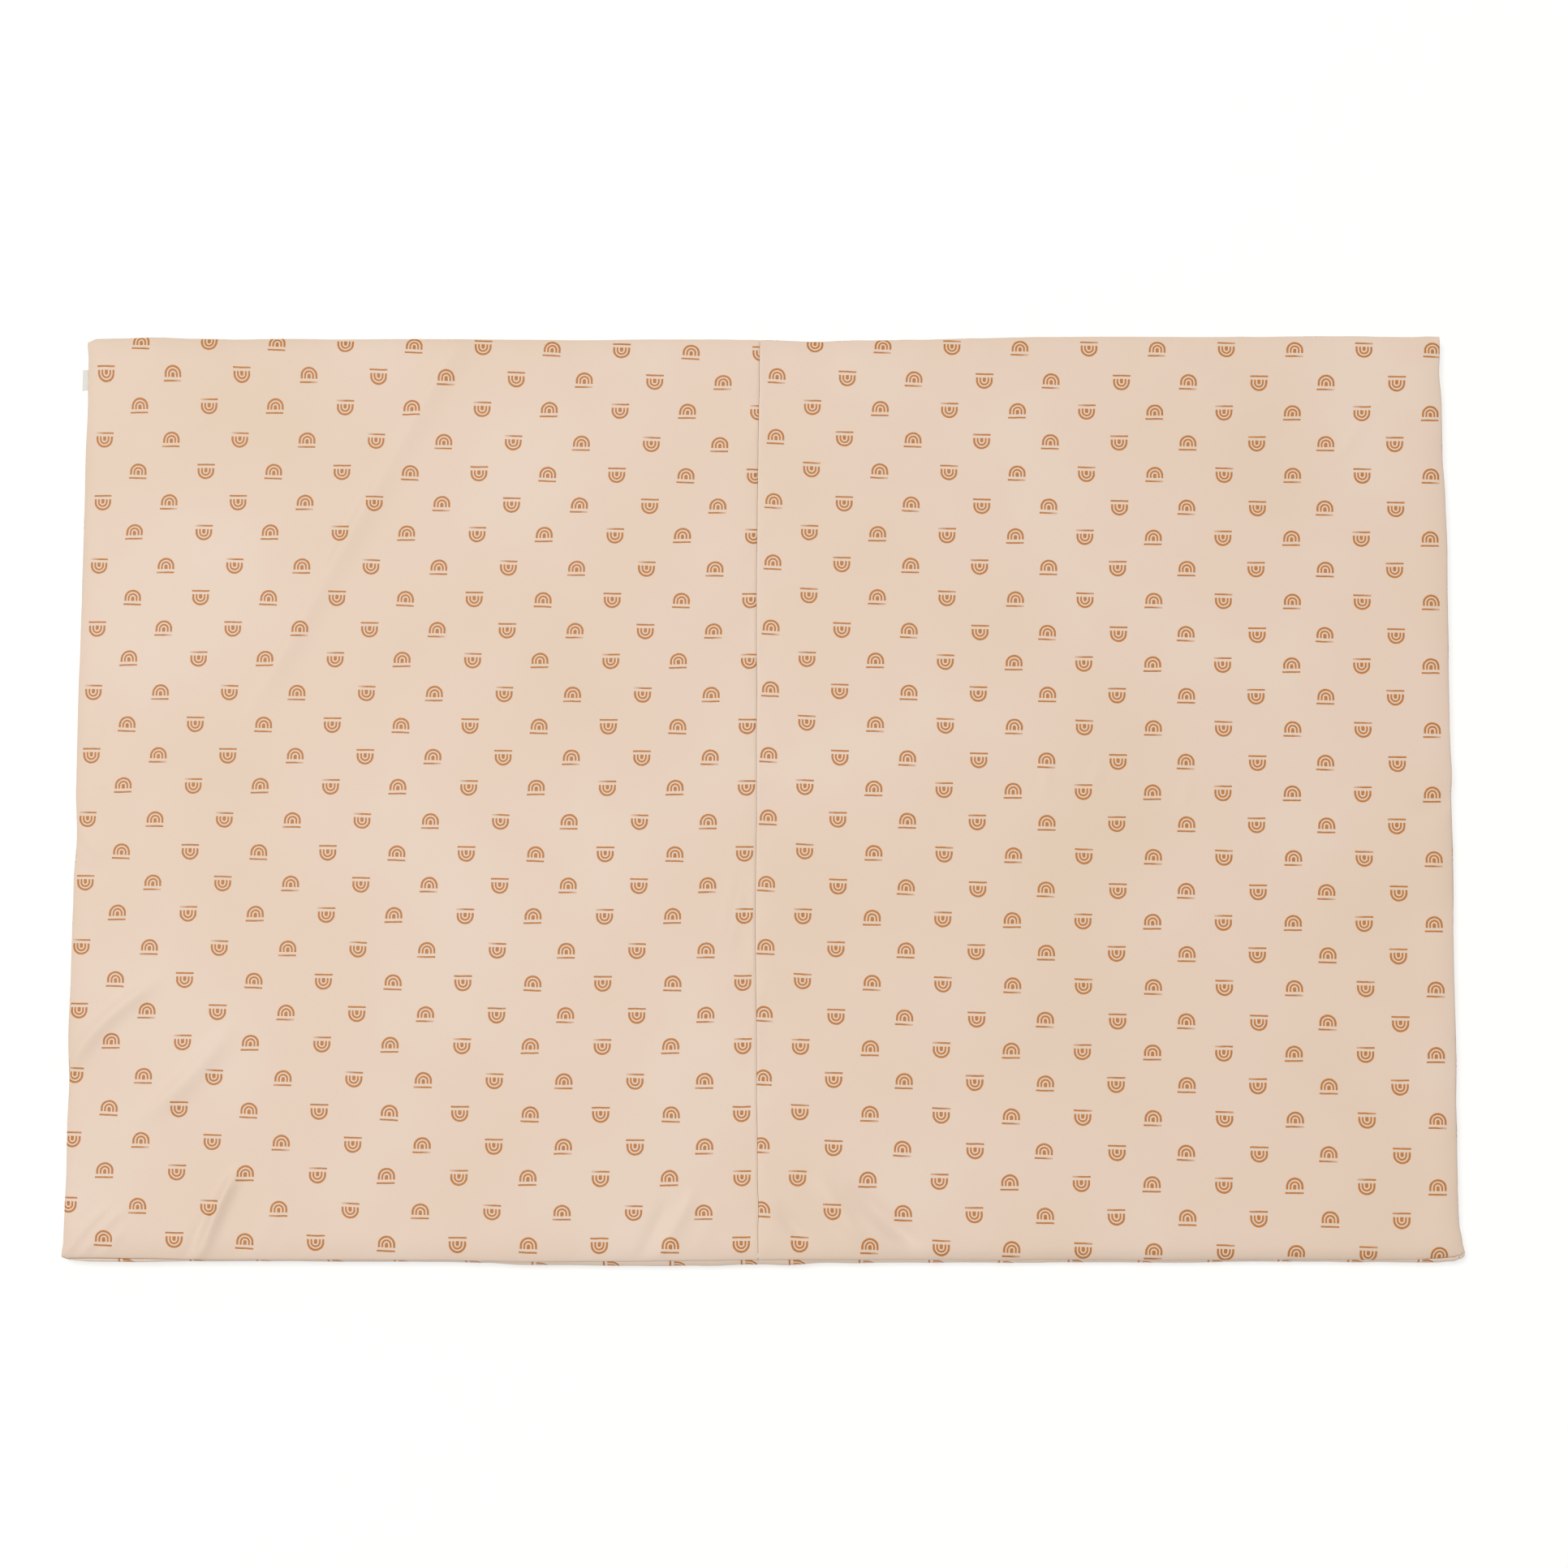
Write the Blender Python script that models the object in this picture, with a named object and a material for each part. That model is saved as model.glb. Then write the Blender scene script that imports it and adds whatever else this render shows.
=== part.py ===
"""A folding floor mat in printed faux leather, lying open: metres, +Z up.

Two foam-filled halves lie side by side. Each half is one filled solid whose top face is crowned
and carries the folds of its cover. Boxing strips stand round the outer sides of the halves, and
the two top faces are sewn together along the fold line. A small folded tag is caught in the left
seam. X runs to the right, Y runs away from the front edge, and the mat rests on z = 0.
"""

import math
from typing import NamedTuple

import bmesh
import bpy

# Plan of the top faces, from seam to seam
FACE_WIDTH = 1.490
FACE_DEPTH = 1.003
FOLD_LINE_X = -0.005
OUTER_CORNER_RADIUS = 0.010
FOLD_CORNER_RADIUS = 0.004

# Heights above the floor
SEAM_HEIGHT = 0.0238
FACE_HEIGHT = 0.0272
CROWN = 0.0016
ROLL_WIDTH = 0.026
FOLD_ROLL_WIDTH = 0.012
FOLD_ROLL_SHARE = 0.45

# Boxing, the strips that make the sides
BOXING_THICKNESS = 0.0012
SIDE_BULGE = 0.0058
PIECE_GAP = 0.0004

# Underside and the walls at the fold
UNDERSIDE_DRAWN_IN = 0.0022
LIP_HEIGHT = 0.0012
LIP_DRAWN_IN = 0.0002

# Sewn allowances of the fold seam, hanging between the halves
FOLD_SEAM_THICKNESS = 0.0016
FOLD_SEAM_DEPTH = 0.0080
FOLD_SEAM_BELOW_FACE = 0.0006
FOLD_SEAM_END_INSET = 0.0050

# Tag, a folded ribbon in the left seam
TAG_FROM_Y = 0.4445
TAG_WIDTH = 0.0230
TAG_THICKNESS = 0.0008
TAG_ROWS = 6
TAG_REACH = 0.0062
TAG_DROOP = 0.0022
TAG_TOP_BELOW_SEAM = 0.0004

# Grid of a top face: close rows at its edges, wide ones inside, finer cells at the folds
EDGE_STOPS = (0.0, 0.004, 0.010, 0.024, 0.050)
CORNER_SEAM_STOP = 2
INNER_STOP = 0.040
FINE_CELL_REACH = 1.7
FINE_CELL_SPLITS = 2

MILLIMETRE = 0.001


class EdgeRow(NamedTuple):
    """One place along a seam: where it lies, and how far the seam leaves its straight line."""

    along: float  # metres along the edge, in X or Y
    outward: float  # millimetres
    lower: float  # millimetres below SEAM_HEIGHT


class SideRow(NamedTuple):
    """One row of the side's section, from the seam down."""

    height: float  # share of the seam's height
    bulge: float  # share of the side's bulge


class Fold(NamedTuple):
    """A soft ridge or trough of the cover, from one end to the other."""

    start: tuple[float, float]
    end: tuple[float, float]
    half_width: float
    rise: float  # metres, negative for a trough
    open_start: bool  # True where the fold runs on into the edge


FRONT_EDGE = (
    EdgeRow(-0.745, -0.5, 0.8),
    EdgeRow(-0.640, -1.0, 0.2),
    EdgeRow(-0.550, -1.5, 0.0),
    EdgeRow(-0.400, 0.5, 0.0),
    EdgeRow(-0.224, 3.5, 0.6),
    EdgeRow(-0.110, 1.5, 1.0),
    EdgeRow(-0.005, -0.5, 0.6),
    EdgeRow(0.085, 1.2, 1.0),
    EdgeRow(0.180, 0.5, 2.6),
    EdgeRow(0.440, 0.8, 3.6),
    EdgeRow(0.690, 0.2, 3.0),
    EdgeRow(0.745, -0.5, 1.4),
)
BACK_EDGE = (
    EdgeRow(-0.745, -1.5, 0.6),
    EdgeRow(-0.680, 2.5, 0.0),
    EdgeRow(-0.500, 1.0, 0.4),
    EdgeRow(-0.340, -0.5, 0.2),
    EdgeRow(-0.036, -3.0, 0.8),
    EdgeRow(0.055, -5.5, 1.6),
    EdgeRow(0.160, -4.0, 1.2),
    EdgeRow(0.260, -3.2, 0.8),
    EdgeRow(0.500, 0.5, 0.2),
    EdgeRow(0.745, 1.5, -0.8),
)
LEFT_EDGE = (
    EdgeRow(-0.5015, 0.0, 0.8),
    EdgeRow(-0.373, -2.8, 0.2),
    EdgeRow(-0.242, -1.8, 0.8),
    EdgeRow(-0.137, -2.8, 0.0),
    EdgeRow(0.066, -1.8, 0.0),
    EdgeRow(0.300, -0.8, 0.4),
    EdgeRow(0.390, -2.0, 0.0),
    EdgeRow(0.5015, -1.0, 0.6),
)
RIGHT_EDGE = (
    EdgeRow(-0.5015, 0.0, 1.4),
    EdgeRow(-0.375, -2.8, 0.4),
    EdgeRow(-0.201, -1.8, 0.0),
    EdgeRow(-0.060, -0.4, 0.8),
    EdgeRow(0.030, -3.8, 0.0),
    EdgeRow(0.200, -3.6, 0.2),
    EdgeRow(0.369, -2.8, 0.0),
    EdgeRow(0.5015, 0.0, -0.8),
)
NO_EDGE_CHANGE = (EdgeRow(-1.0, 0.0, 0.0), EdgeRow(1.0, 0.0, 0.0))

SIDE_SECTION = (
    SideRow(0.915, 0.08),
    SideRow(0.80, 0.58),
    SideRow(0.50, 1.00),
    SideRow(0.22, 0.84),
    SideRow(0.07, 0.45),
)

LEFT_FOLDS = (
    Fold((-0.334, 0.501), (-0.564, 0.076), 0.013, 0.0026, True),
    Fold((-0.742, -0.281), (-0.655, -0.205), 0.015, 0.0026, True),
    Fold((-0.680, -0.352), (-0.562, -0.246), 0.022, -0.0030, False),
    Fold((-0.606, -0.495), (-0.552, -0.418), 0.011, 0.0030, True),
    Fold((-0.735, -0.487), (-0.672, -0.440), 0.013, -0.0022, True),
    Fold((-0.122, -0.499), (-0.078, -0.430), 0.012, -0.0024, True),
    Fold((-0.090, -0.499), (-0.046, -0.452), 0.010, 0.0020, True),
)
RIGHT_FOLDS = (
    Fold((0.004, -0.405), (0.058, -0.496), 0.014, -0.0024, False),
    Fold((0.030, -0.499), (0.070, -0.455), 0.010, 0.0018, True),
    Fold((0.108, -0.432), (0.186, -0.482), 0.014, -0.0022, False),
    Fold((0.735, -0.046), (0.700, -0.040), 0.012, -0.0020, True),
)

# Colours, linear
LEATHER = (0.77, 0.63, 0.50)
LEATHER_SIDE = (0.74, 0.59, 0.46)
THREAD = (0.22, 0.13, 0.08)
RIBBON = (0.86, 0.86, 0.84)
LEATHER_ROUGHNESS = 0.48
CLOTH_ROUGHNESS = 0.85


class Edge(NamedTuple):
    """One side of a half: the line it follows, the way it faces and its table."""

    line: float
    facing: int
    rows: tuple[EdgeRow, ...]
    bulge: float
    roll_width: float
    roll_share: float


class Half(NamedTuple):
    """One foam-filled half, between its left and right edges."""

    name: str
    left: Edge
    right: Edge
    front: Edge
    back: Edge
    folds: tuple[Fold, ...]


def eased(share):
    """A share from 0 to 1, with no corner at either end."""
    share = min(max(share, 0.0), 1.0)
    return share * share * (3.0 - 2.0 * share)


def read_rows(rows, at):
    """The outward and lower columns of an edge table at one place, in metres."""
    if at <= rows[0].along:
        return rows[0].outward * MILLIMETRE, rows[0].lower * MILLIMETRE
    for row, following in zip(rows, rows[1:]):
        if at <= following.along:
            share = eased((at - row.along) / (following.along - row.along))
            outward = row.outward + (following.outward - row.outward) * share
            lower = row.lower + (following.lower - row.lower) * share
            return outward * MILLIMETRE, lower * MILLIMETRE
    return rows[-1].outward * MILLIMETRE, rows[-1].lower * MILLIMETRE


def outer_edge(line, facing, rows):
    """An edge with boxing round it."""
    return Edge(line, facing, rows, SIDE_BULGE, ROLL_WIDTH, 1.0)


def fold_edge(facing):
    """An edge at the fold line, set back from it by half of the sewn allowances."""
    set_back = FOLD_SEAM_THICKNESS / 2 + PIECE_GAP
    line = FOLD_LINE_X - facing * set_back
    return Edge(line, facing, NO_EDGE_CHANGE, 0.0, FOLD_ROLL_WIDTH, FOLD_ROLL_SHARE)


def halves():
    """The two halves, left and right of the fold line."""
    front = outer_edge(-FACE_DEPTH / 2, -1, FRONT_EDGE)
    back = outer_edge(FACE_DEPTH / 2, 1, BACK_EDGE)
    outer_left = outer_edge(-FACE_WIDTH / 2, -1, LEFT_EDGE)
    outer_right = outer_edge(FACE_WIDTH / 2, 1, RIGHT_EDGE)
    return (
        Half("left", outer_left, fold_edge(1), front, back, LEFT_FOLDS),
        Half("right", fold_edge(-1), outer_right, front, back, RIGHT_FOLDS),
    )


def corner_turn(across, along, radius):
    """Rounds a plan corner.

    Takes a point's distances from the two edges that meet there. Gives its new distances, and how
    far the outward direction has turned from the edge that is nearer towards the other one.
    """
    near, far = min(across, along), max(across, along)
    left_over = radius - near
    run = far - near
    if left_over <= 0.0 or run >= left_over:
        return across, along, 0.0
    turn = math.pi / 4 * (1.0 - run / left_over)
    moved_near = near + left_over * (1.0 - math.cos(turn))
    moved_far = near + left_over * (1.0 - math.sin(turn))
    if across <= along:
        return moved_near, moved_far, turn
    return moved_far, moved_near, turn


class PlanPoint(NamedTuple):
    """A place on the outline of a half or inside it, with its outward direction."""

    x: float
    y: float
    out_x: float
    out_y: float
    lower: float
    bulge: float
    boxed: bool


def plan_point(half, x, y):
    """Moves a point of the straight plan to where the cut and filled half has it."""
    side = half.left if x - half.left.line < half.right.line - x else half.right
    end = half.front if y - half.front.line < half.back.line - y else half.back
    from_side, from_end = abs(x - side.line), abs(y - end.line)
    radius = OUTER_CORNER_RADIUS if side.bulge else FOLD_CORNER_RADIUS
    moved_side, moved_end, turn = corner_turn(from_side, from_end, radius)
    side_is_near = from_side <= from_end
    lean, straight = math.sin(turn), math.cos(turn)
    out_x = side.facing * (straight if side_is_near else lean)
    out_y = end.facing * (lean if side_is_near else straight)
    side_out, side_lower = read_rows(side.rows, y)
    end_out, end_lower = read_rows(end.rows, x)
    half_width = (half.right.line - half.left.line) / 2
    half_depth = FACE_DEPTH / 2
    side_share = eased(1.0 - from_side / half_width)
    end_share = eased(1.0 - from_end / half_depth)
    new_x = side.line - side.facing * moved_side + side.facing * side_out * side_share
    new_y = end.line - end.facing * moved_end + end.facing * end_out * end_share
    lower = side_lower if side_is_near else end_lower
    mixed = (side_lower + end_lower) / 2
    lower += (mixed - lower) * (turn / (math.pi / 4))
    bulge = side.bulge if side_is_near else end.bulge
    boxed = bulge > 0.0 or (turn > 0.0 and end.bulge > 0.0)
    if not side.bulge:
        bulge *= 1.0 - turn / (math.pi / 4)
    return PlanPoint(new_x, new_y, out_x, out_y, lower, bulge, boxed)


def rolled(distance, width):
    """How much of its full height a face has at this distance from its seam."""
    share = min(max(distance / width, 0.0), 1.0)
    return math.sqrt(1.0 - (1.0 - share) ** 2)


def fold_rise(fold, x, y):
    """The height that one fold adds at a place."""
    run_x, run_y = fold.end[0] - fold.start[0], fold.end[1] - fold.start[1]
    length = math.hypot(run_x, run_y)
    along = ((x - fold.start[0]) * run_x + (y - fold.start[1]) * run_y) / length
    beside = ((x - fold.start[0]) * run_y - (y - fold.start[1]) * run_x) / length
    fade = 2.0 * fold.half_width
    at_end = eased((length - along) / fade)
    at_start = 1.0 if fold.open_start else eased(along / fade)
    return fold.rise * math.exp(-((beside / fold.half_width) ** 2)) * at_start * at_end


def face_height(half, x, y):
    """The height of the top face over a point of the straight plan."""
    share_x = (x - half.left.line) / (half.right.line - half.left.line)
    share_y = (y - half.front.line) / FACE_DEPTH
    crown = CROWN * math.sin(math.pi * share_x) * math.sin(math.pi * share_y)
    height = FACE_HEIGHT + crown - SEAM_HEIGHT
    sunk = 0.0
    edges = (
        (half.left, x - half.left.line, y),
        (half.right, half.right.line - x, y),
        (half.front, y - half.front.line, x),
        (half.back, half.back.line - y, x),
    )
    for edge, distance, at in edges:
        full = rolled(distance, edge.roll_width)
        height *= 1.0 - edge.roll_share * (1.0 - full)
        sunk += read_rows(edge.rows, at)[1] * (1.0 - full)
    folds = sum(fold_rise(fold, x, y) for fold in half.folds)
    nearest = min(distance for _, distance, _ in edges)
    return SEAM_HEIGHT + height - sunk + folds * rolled(nearest, ROLL_WIDTH / 2)


def side_stops(edge_from, edge_to):
    """Places along a half's edge: close together at both ends, even between."""
    inner_from, inner_to = edge_from + EDGE_STOPS[-1], edge_to - EDGE_STOPS[-1]
    count = round((inner_to - inner_from) / INNER_STOP)
    step = (inner_to - inner_from) / count
    inner = [inner_from + step * index for index in range(1, count)]
    first = [edge_from + stop for stop in EDGE_STOPS]
    last = [edge_to - stop for stop in reversed(EDGE_STOPS)]
    return first + inner + last


def fold_is_near(half, x, y):
    """True if a fold's slope shows at a place, so that the grid there is finer."""
    for fold in half.folds:
        run_x, run_y = fold.end[0] - fold.start[0], fold.end[1] - fold.start[1]
        squared = run_x * run_x + run_y * run_y
        along = ((x - fold.start[0]) * run_x + (y - fold.start[1]) * run_y) / squared
        along = min(max(along, 0.0), 1.0)
        gap = math.hypot(x - fold.start[0] - run_x * along, y - fold.start[1] - run_y * along)
        if gap < FINE_CELL_REACH * fold.half_width:
            return True
    return False


def split_cells_at_folds(mesh, half):
    """Splits the grid's cells once where a fold runs through them."""
    edges = set()
    for face in mesh.faces:
        middle = face.calc_center_median()
        wide = face.calc_area() > (INNER_STOP / 2) ** 2 / 2
        if wide and fold_is_near(half, middle.x, middle.y):
            edges.update(face.edges)
    bmesh.ops.subdivide_edges(mesh, edges=list(edges), cuts=1, use_grid_fill=True)


def pad_section(half, x, y, point):
    """The rows of a half's side under one outline point: distance outwards, and height.

    The first row is the top face itself, so it also serves for every point inside the outline.
    """
    top = face_height(half, x, y)
    skin = BOXING_THICKNESS + PIECE_GAP if point.boxed else 0.0
    rows = [(0.0, top), (-LIP_DRAWN_IN, top - LIP_HEIGHT)]
    rows += [(point.bulge * row.bulge - skin, top * row.height) for row in SIDE_SECTION]
    rows.append((-UNDERSIDE_DRAWN_IN, 0.0))
    return rows


def build_pad(half):
    """One filled half: top face, rolled edges, sides and flat underside in a single solid."""
    mesh = bmesh.new()
    across = side_stops(half.left.line, half.right.line)
    away = side_stops(half.front.line, half.back.line)
    grid = [[mesh.verts.new((x, y, 0.0)) for x in across] for y in away]
    for near, far in zip(grid, grid[1:]):
        for index in range(len(across) - 1):
            mesh.faces.new((near[index], near[index + 1], far[index + 1], far[index]))
    for _ in range(FINE_CELL_SPLITS):
        split_cells_at_folds(mesh, half)

    # The rim goes down row by row. Until the last pass a vertex's z holds its row, from 0 at the top.
    for row in range(1, len(SIDE_SECTION) + 3):
        rim = [edge for edge in mesh.edges if edge.is_boundary]
        made = bmesh.ops.extrude_edge_only(mesh, edges=rim)["geom"]
        for vertex in made:
            if isinstance(vertex, bmesh.types.BMVert):
                vertex.co.z = -float(row)
    rim = [edge for edge in mesh.edges if edge.is_boundary]
    bmesh.ops.contextual_create(mesh, geom=rim)

    for vertex in mesh.verts:
        x, y, row = vertex.co.x, vertex.co.y, round(-vertex.co.z)
        point = plan_point(half, x, y)
        outward, height = pad_section(half, x, y, point)[row]
        vertex.co = (point.x + point.out_x * outward, point.y + point.out_y * outward, height)
    bmesh.ops.recalc_face_normals(mesh, faces=mesh.faces)
    return mesh


def boxing_path(half, side):
    """The straight outline of a half's outer edges, from beside its front fold corner to its back one."""
    across = side_stops(half.left.line, half.right.line)
    away = side_stops(half.front.line, half.back.line)
    if side is half.left:
        across = across[::-1]
    front = [(x, half.front.line) for x in across[1:]]
    outer = [(side.line, y) for y in away[1:]]
    back = [(x, half.back.line) for x in across[-2:0:-1]]
    return front, outer, back


def shifted(place, towards, distance):
    """A place moved a distance towards another one."""
    length = math.hypot(towards[0] - place[0], towards[1] - place[1])
    share = distance / length
    return (place[0] + (towards[0] - place[0]) * share, place[1] + (towards[1] - place[1]) * share)


def build_boxing(half, places):
    """A strip of cover round part of a half's outer sides, through places on its outline."""
    mesh = bmesh.new()
    rings = []
    for x, y in places:
        point = plan_point(half, x, y)
        seam = face_height(half, x, y)
        outer = [(point.bulge * row.bulge, seam * row.height) for row in SIDE_SECTION]
        inner = [(outward - BOXING_THICKNESS, height) for outward, height in outer]
        ring = []
        for outward, height in outer + inner[::-1]:
            x_moved = point.x + point.out_x * outward
            y_moved = point.y + point.out_y * outward
            ring.append(mesh.verts.new((x_moved, y_moved, height)))
        rings.append(ring)
    for ring, following in zip(rings, rings[1:]):
        for index in range(len(ring)):
            beside = (index + 1) % len(ring)
            mesh.faces.new((ring[index], ring[beside], following[beside], following[index]))
    mesh.faces.new(rings[0])
    mesh.faces.new(rings[-1])
    bmesh.ops.recalc_face_normals(mesh, faces=mesh.faces)
    return mesh


def build_fold_seam(half):
    """The sewn allowances between the halves, one thin strip along the fold line."""
    mesh = bmesh.new()
    stops = [
        y
        for y in side_stops(half.front.line, half.back.line)
        if abs(y) < FACE_DEPTH / 2 - FOLD_SEAM_END_INSET
    ]
    rings = []
    for y in stops:
        top = face_height(half, half.right.line, y) - FOLD_SEAM_BELOW_FACE
        left = FOLD_LINE_X - FOLD_SEAM_THICKNESS / 2
        right = FOLD_LINE_X + FOLD_SEAM_THICKNESS / 2
        low = top - FOLD_SEAM_DEPTH
        corners = ((left, y, top), (right, y, top), (right, y, low), (left, y, low))
        rings.append([mesh.verts.new(corner) for corner in corners])
    for ring, following in zip(rings, rings[1:]):
        for index in range(len(ring)):
            beside = (index + 1) % len(ring)
            mesh.faces.new((ring[index], ring[beside], following[beside], following[index]))
    mesh.faces.new(rings[0])
    mesh.faces.new(rings[-1])
    bmesh.ops.recalc_face_normals(mesh, faces=mesh.faces)
    return mesh


def build_tag(half):
    """The small folded ribbon in the left seam, drooping a little over the boxing."""
    mesh = bmesh.new()
    middle_y = TAG_FROM_Y + TAG_WIDTH / 2
    edge = half.left
    root = edge.line - read_rows(edge.rows, middle_y)[0] - 2 * PIECE_GAP
    top = face_height(half, edge.line, middle_y) - TAG_TOP_BELOW_SEAM
    upper, lower = [], []
    for row in range(TAG_ROWS):
        share = row / (TAG_ROWS - 1)
        x = root - TAG_REACH * share
        height = top - TAG_DROOP * share * share
        upper.append((x, height))
        lower.append((x, height - TAG_THICKNESS))
    outline = upper + lower[::-1]
    ends = []
    for y in (TAG_FROM_Y, TAG_FROM_Y + TAG_WIDTH):
        ends.append([mesh.verts.new((x, y, height)) for x, height in outline])
    for index in range(len(outline)):
        beside = (index + 1) % len(outline)
        mesh.faces.new((ends[0][index], ends[0][beside], ends[1][beside], ends[1][index]))
    mesh.faces.new(ends[0])
    mesh.faces.new(ends[1])
    bmesh.ops.recalc_face_normals(mesh, faces=mesh.faces)
    return mesh


def add_object(name, mesh, colour, roughness):
    """Links a mesh as a named object with a material of its own."""
    data = bpy.data.meshes.new(name)
    mesh.to_mesh(data)
    mesh.free()
    data.shade_smooth()
    data.set_sharp_from_angle(angle=math.radians(50))
    material = bpy.data.materials.new(name)
    material.use_nodes = True
    shader = material.node_tree.nodes["Principled BSDF"]
    shader.inputs["Base Color"].default_value = (*colour, 1.0)
    shader.inputs["Roughness"].default_value = roughness
    shader.inputs["Metallic"].default_value = 0.0
    data.materials.append(material)
    thing = bpy.data.objects.new(name, data)
    bpy.context.scene.collection.objects.link(thing)
    return thing


def build_half(half):
    """The filled half and the three boxing strips round it."""
    add_object(f"{half.name}_pad", build_pad(half), LEATHER, LEATHER_ROUGHNESS)
    side = half.left if half.left.bulge else half.right
    front, outer, back = boxing_path(half, side)
    cut = CORNER_SEAM_STOP
    strips = {
        "front": front[:-cut],
        "side": front[-cut - 1 :] + outer + back[:cut],
        "back": back[cut - 1 :],
    }
    trim = PIECE_GAP / 2
    for place, path in strips.items():
        if place != "front":
            path[0] = shifted(path[0], path[1], trim)
        if place != "back":
            path[-1] = shifted(path[-1], path[-2], trim)
        strip = build_boxing(half, path)
        add_object(f"{half.name}_{place}_boxing", strip, LEATHER_SIDE, LEATHER_ROUGHNESS)


def main():
    """Clears the scene and builds the mat."""
    for thing in list(bpy.data.objects):
        bpy.data.objects.remove(thing, do_unlink=True)
    left, right = halves()
    build_half(left)
    build_half(right)
    add_object("fold_seam", build_fold_seam(left), THREAD, CLOTH_ROUGHNESS)
    add_object("side_tag", build_tag(left), RIBBON, CLOTH_ROUGHNESS)


main()
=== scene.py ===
"""Dressed scene of a folding floor mat in printed faux leather, lying open on a pale floor.

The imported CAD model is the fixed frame. Each half of the mat is one filled, closed form with the
folds of its cover, boxing strips stand round its outer sides, and a sewn edge joins the two top
faces along the fold line. Metres, X to the right, Y away from the front edge, Z up.
"""

import logging
import math
from dataclasses import dataclass
from enum import Enum

import bpy
import numpy as np
from mathutils import Matrix
from mathutils import Vector

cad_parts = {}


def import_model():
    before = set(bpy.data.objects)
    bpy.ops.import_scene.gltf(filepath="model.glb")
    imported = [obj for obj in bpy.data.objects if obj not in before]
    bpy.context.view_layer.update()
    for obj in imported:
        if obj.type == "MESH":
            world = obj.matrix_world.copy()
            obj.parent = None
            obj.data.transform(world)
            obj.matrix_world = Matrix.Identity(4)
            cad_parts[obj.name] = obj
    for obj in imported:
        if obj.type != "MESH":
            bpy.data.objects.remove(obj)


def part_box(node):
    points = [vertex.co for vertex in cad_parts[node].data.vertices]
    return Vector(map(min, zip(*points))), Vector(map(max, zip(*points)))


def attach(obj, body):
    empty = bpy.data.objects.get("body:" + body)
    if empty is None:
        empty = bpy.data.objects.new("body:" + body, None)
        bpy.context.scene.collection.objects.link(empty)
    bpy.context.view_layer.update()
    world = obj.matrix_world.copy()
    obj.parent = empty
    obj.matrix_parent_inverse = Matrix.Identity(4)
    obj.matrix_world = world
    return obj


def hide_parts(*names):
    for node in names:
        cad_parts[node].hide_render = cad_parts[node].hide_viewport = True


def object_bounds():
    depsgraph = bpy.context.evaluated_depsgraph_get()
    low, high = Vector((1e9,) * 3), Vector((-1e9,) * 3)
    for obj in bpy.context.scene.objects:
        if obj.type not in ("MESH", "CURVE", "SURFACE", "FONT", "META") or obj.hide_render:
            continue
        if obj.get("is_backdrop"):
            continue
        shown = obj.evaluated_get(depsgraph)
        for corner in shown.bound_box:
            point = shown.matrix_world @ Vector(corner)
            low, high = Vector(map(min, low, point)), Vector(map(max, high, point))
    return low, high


LOG = logging.getLogger("mat")
MILLIMETRE = 0.001
IMAGE_SIZE = 1932
PRINT_UV = "print_repeat"
COLOUR_MIX = {"data_type": "RGBA"}
Values = np.ndarray
# One line of arithmetic in a pattern: its result's name, the operation, and what goes in
Step = tuple[str | float, ...]
Sockets = dict[str, bpy.types.NodeSocket]
Piece = bpy.types.Object
Material = bpy.types.Material
Face = tuple[int, ...]


class Side(Enum):
    """The outer side of a half, and the way that it faces along X."""

    LEFT = -1
    RIGHT = 1


class Strip(Enum):
    """The three boxing strips round a half."""

    FRONT = "front"
    OUTER = "side"
    BACK = "back"


@dataclass(frozen=True)
class EdgeRow:
    """One place along a seam: how far the seam leaves its straight line there.

    Args:
        along: metres along the edge, in X or Y.
        outward: millimetres outwards.
        lower: millimetres below the seam's usual height.
        bulge: millimetres that the boxing under it stands out.
        shelf: from 0 to 1, how flat the side lies just under the seam.
    """

    along: float
    outward: float
    lower: float
    bulge: float = 1.8
    shelf: float = 0.0


@dataclass(frozen=True)
class Fold:
    """A soft ridge or trough of the cover.

    Args:
        start: where it begins, in metres.
        end: where it fades out, in metres.
        half_width: metres from its crest to its foot.
        rise: metres that it stands up, negative for a trough.
        open_start: True where it runs on into the edge.
        bow: metres that its middle swings to its left.
        lean: from -1 to 1, how much steeper one flank is than the other.
    """

    start: tuple[float, float]
    end: tuple[float, float]
    half_width: float
    rise: float
    open_start: bool
    bow: float = 0.0
    lean: float = 0.0


@dataclass(frozen=True)
class SeamPucker:
    """Small gathers that run in from a seam, of one size.

    Args:
        spacing: metres from gather to gather.
        reach: metres from the seam to where they stand highest.
        rise: metres that the highest one stands up.
        seed: seed of their uneven heights.
    """

    spacing: float
    reach: float
    rise: float
    seed: int


@dataclass(frozen=True)
class PrintRow:
    """How one motif of the repeat differs from a perfect one.

    Args:
        right: millimetres to the right of its place in the repeat.
        up: millimetres above it.
        fade: how much of its bar's ink is missing, negative where the left end fades.
        slope: rise of the motif over its run.
    """

    right: float
    up: float
    fade: float
    slope: float


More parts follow.
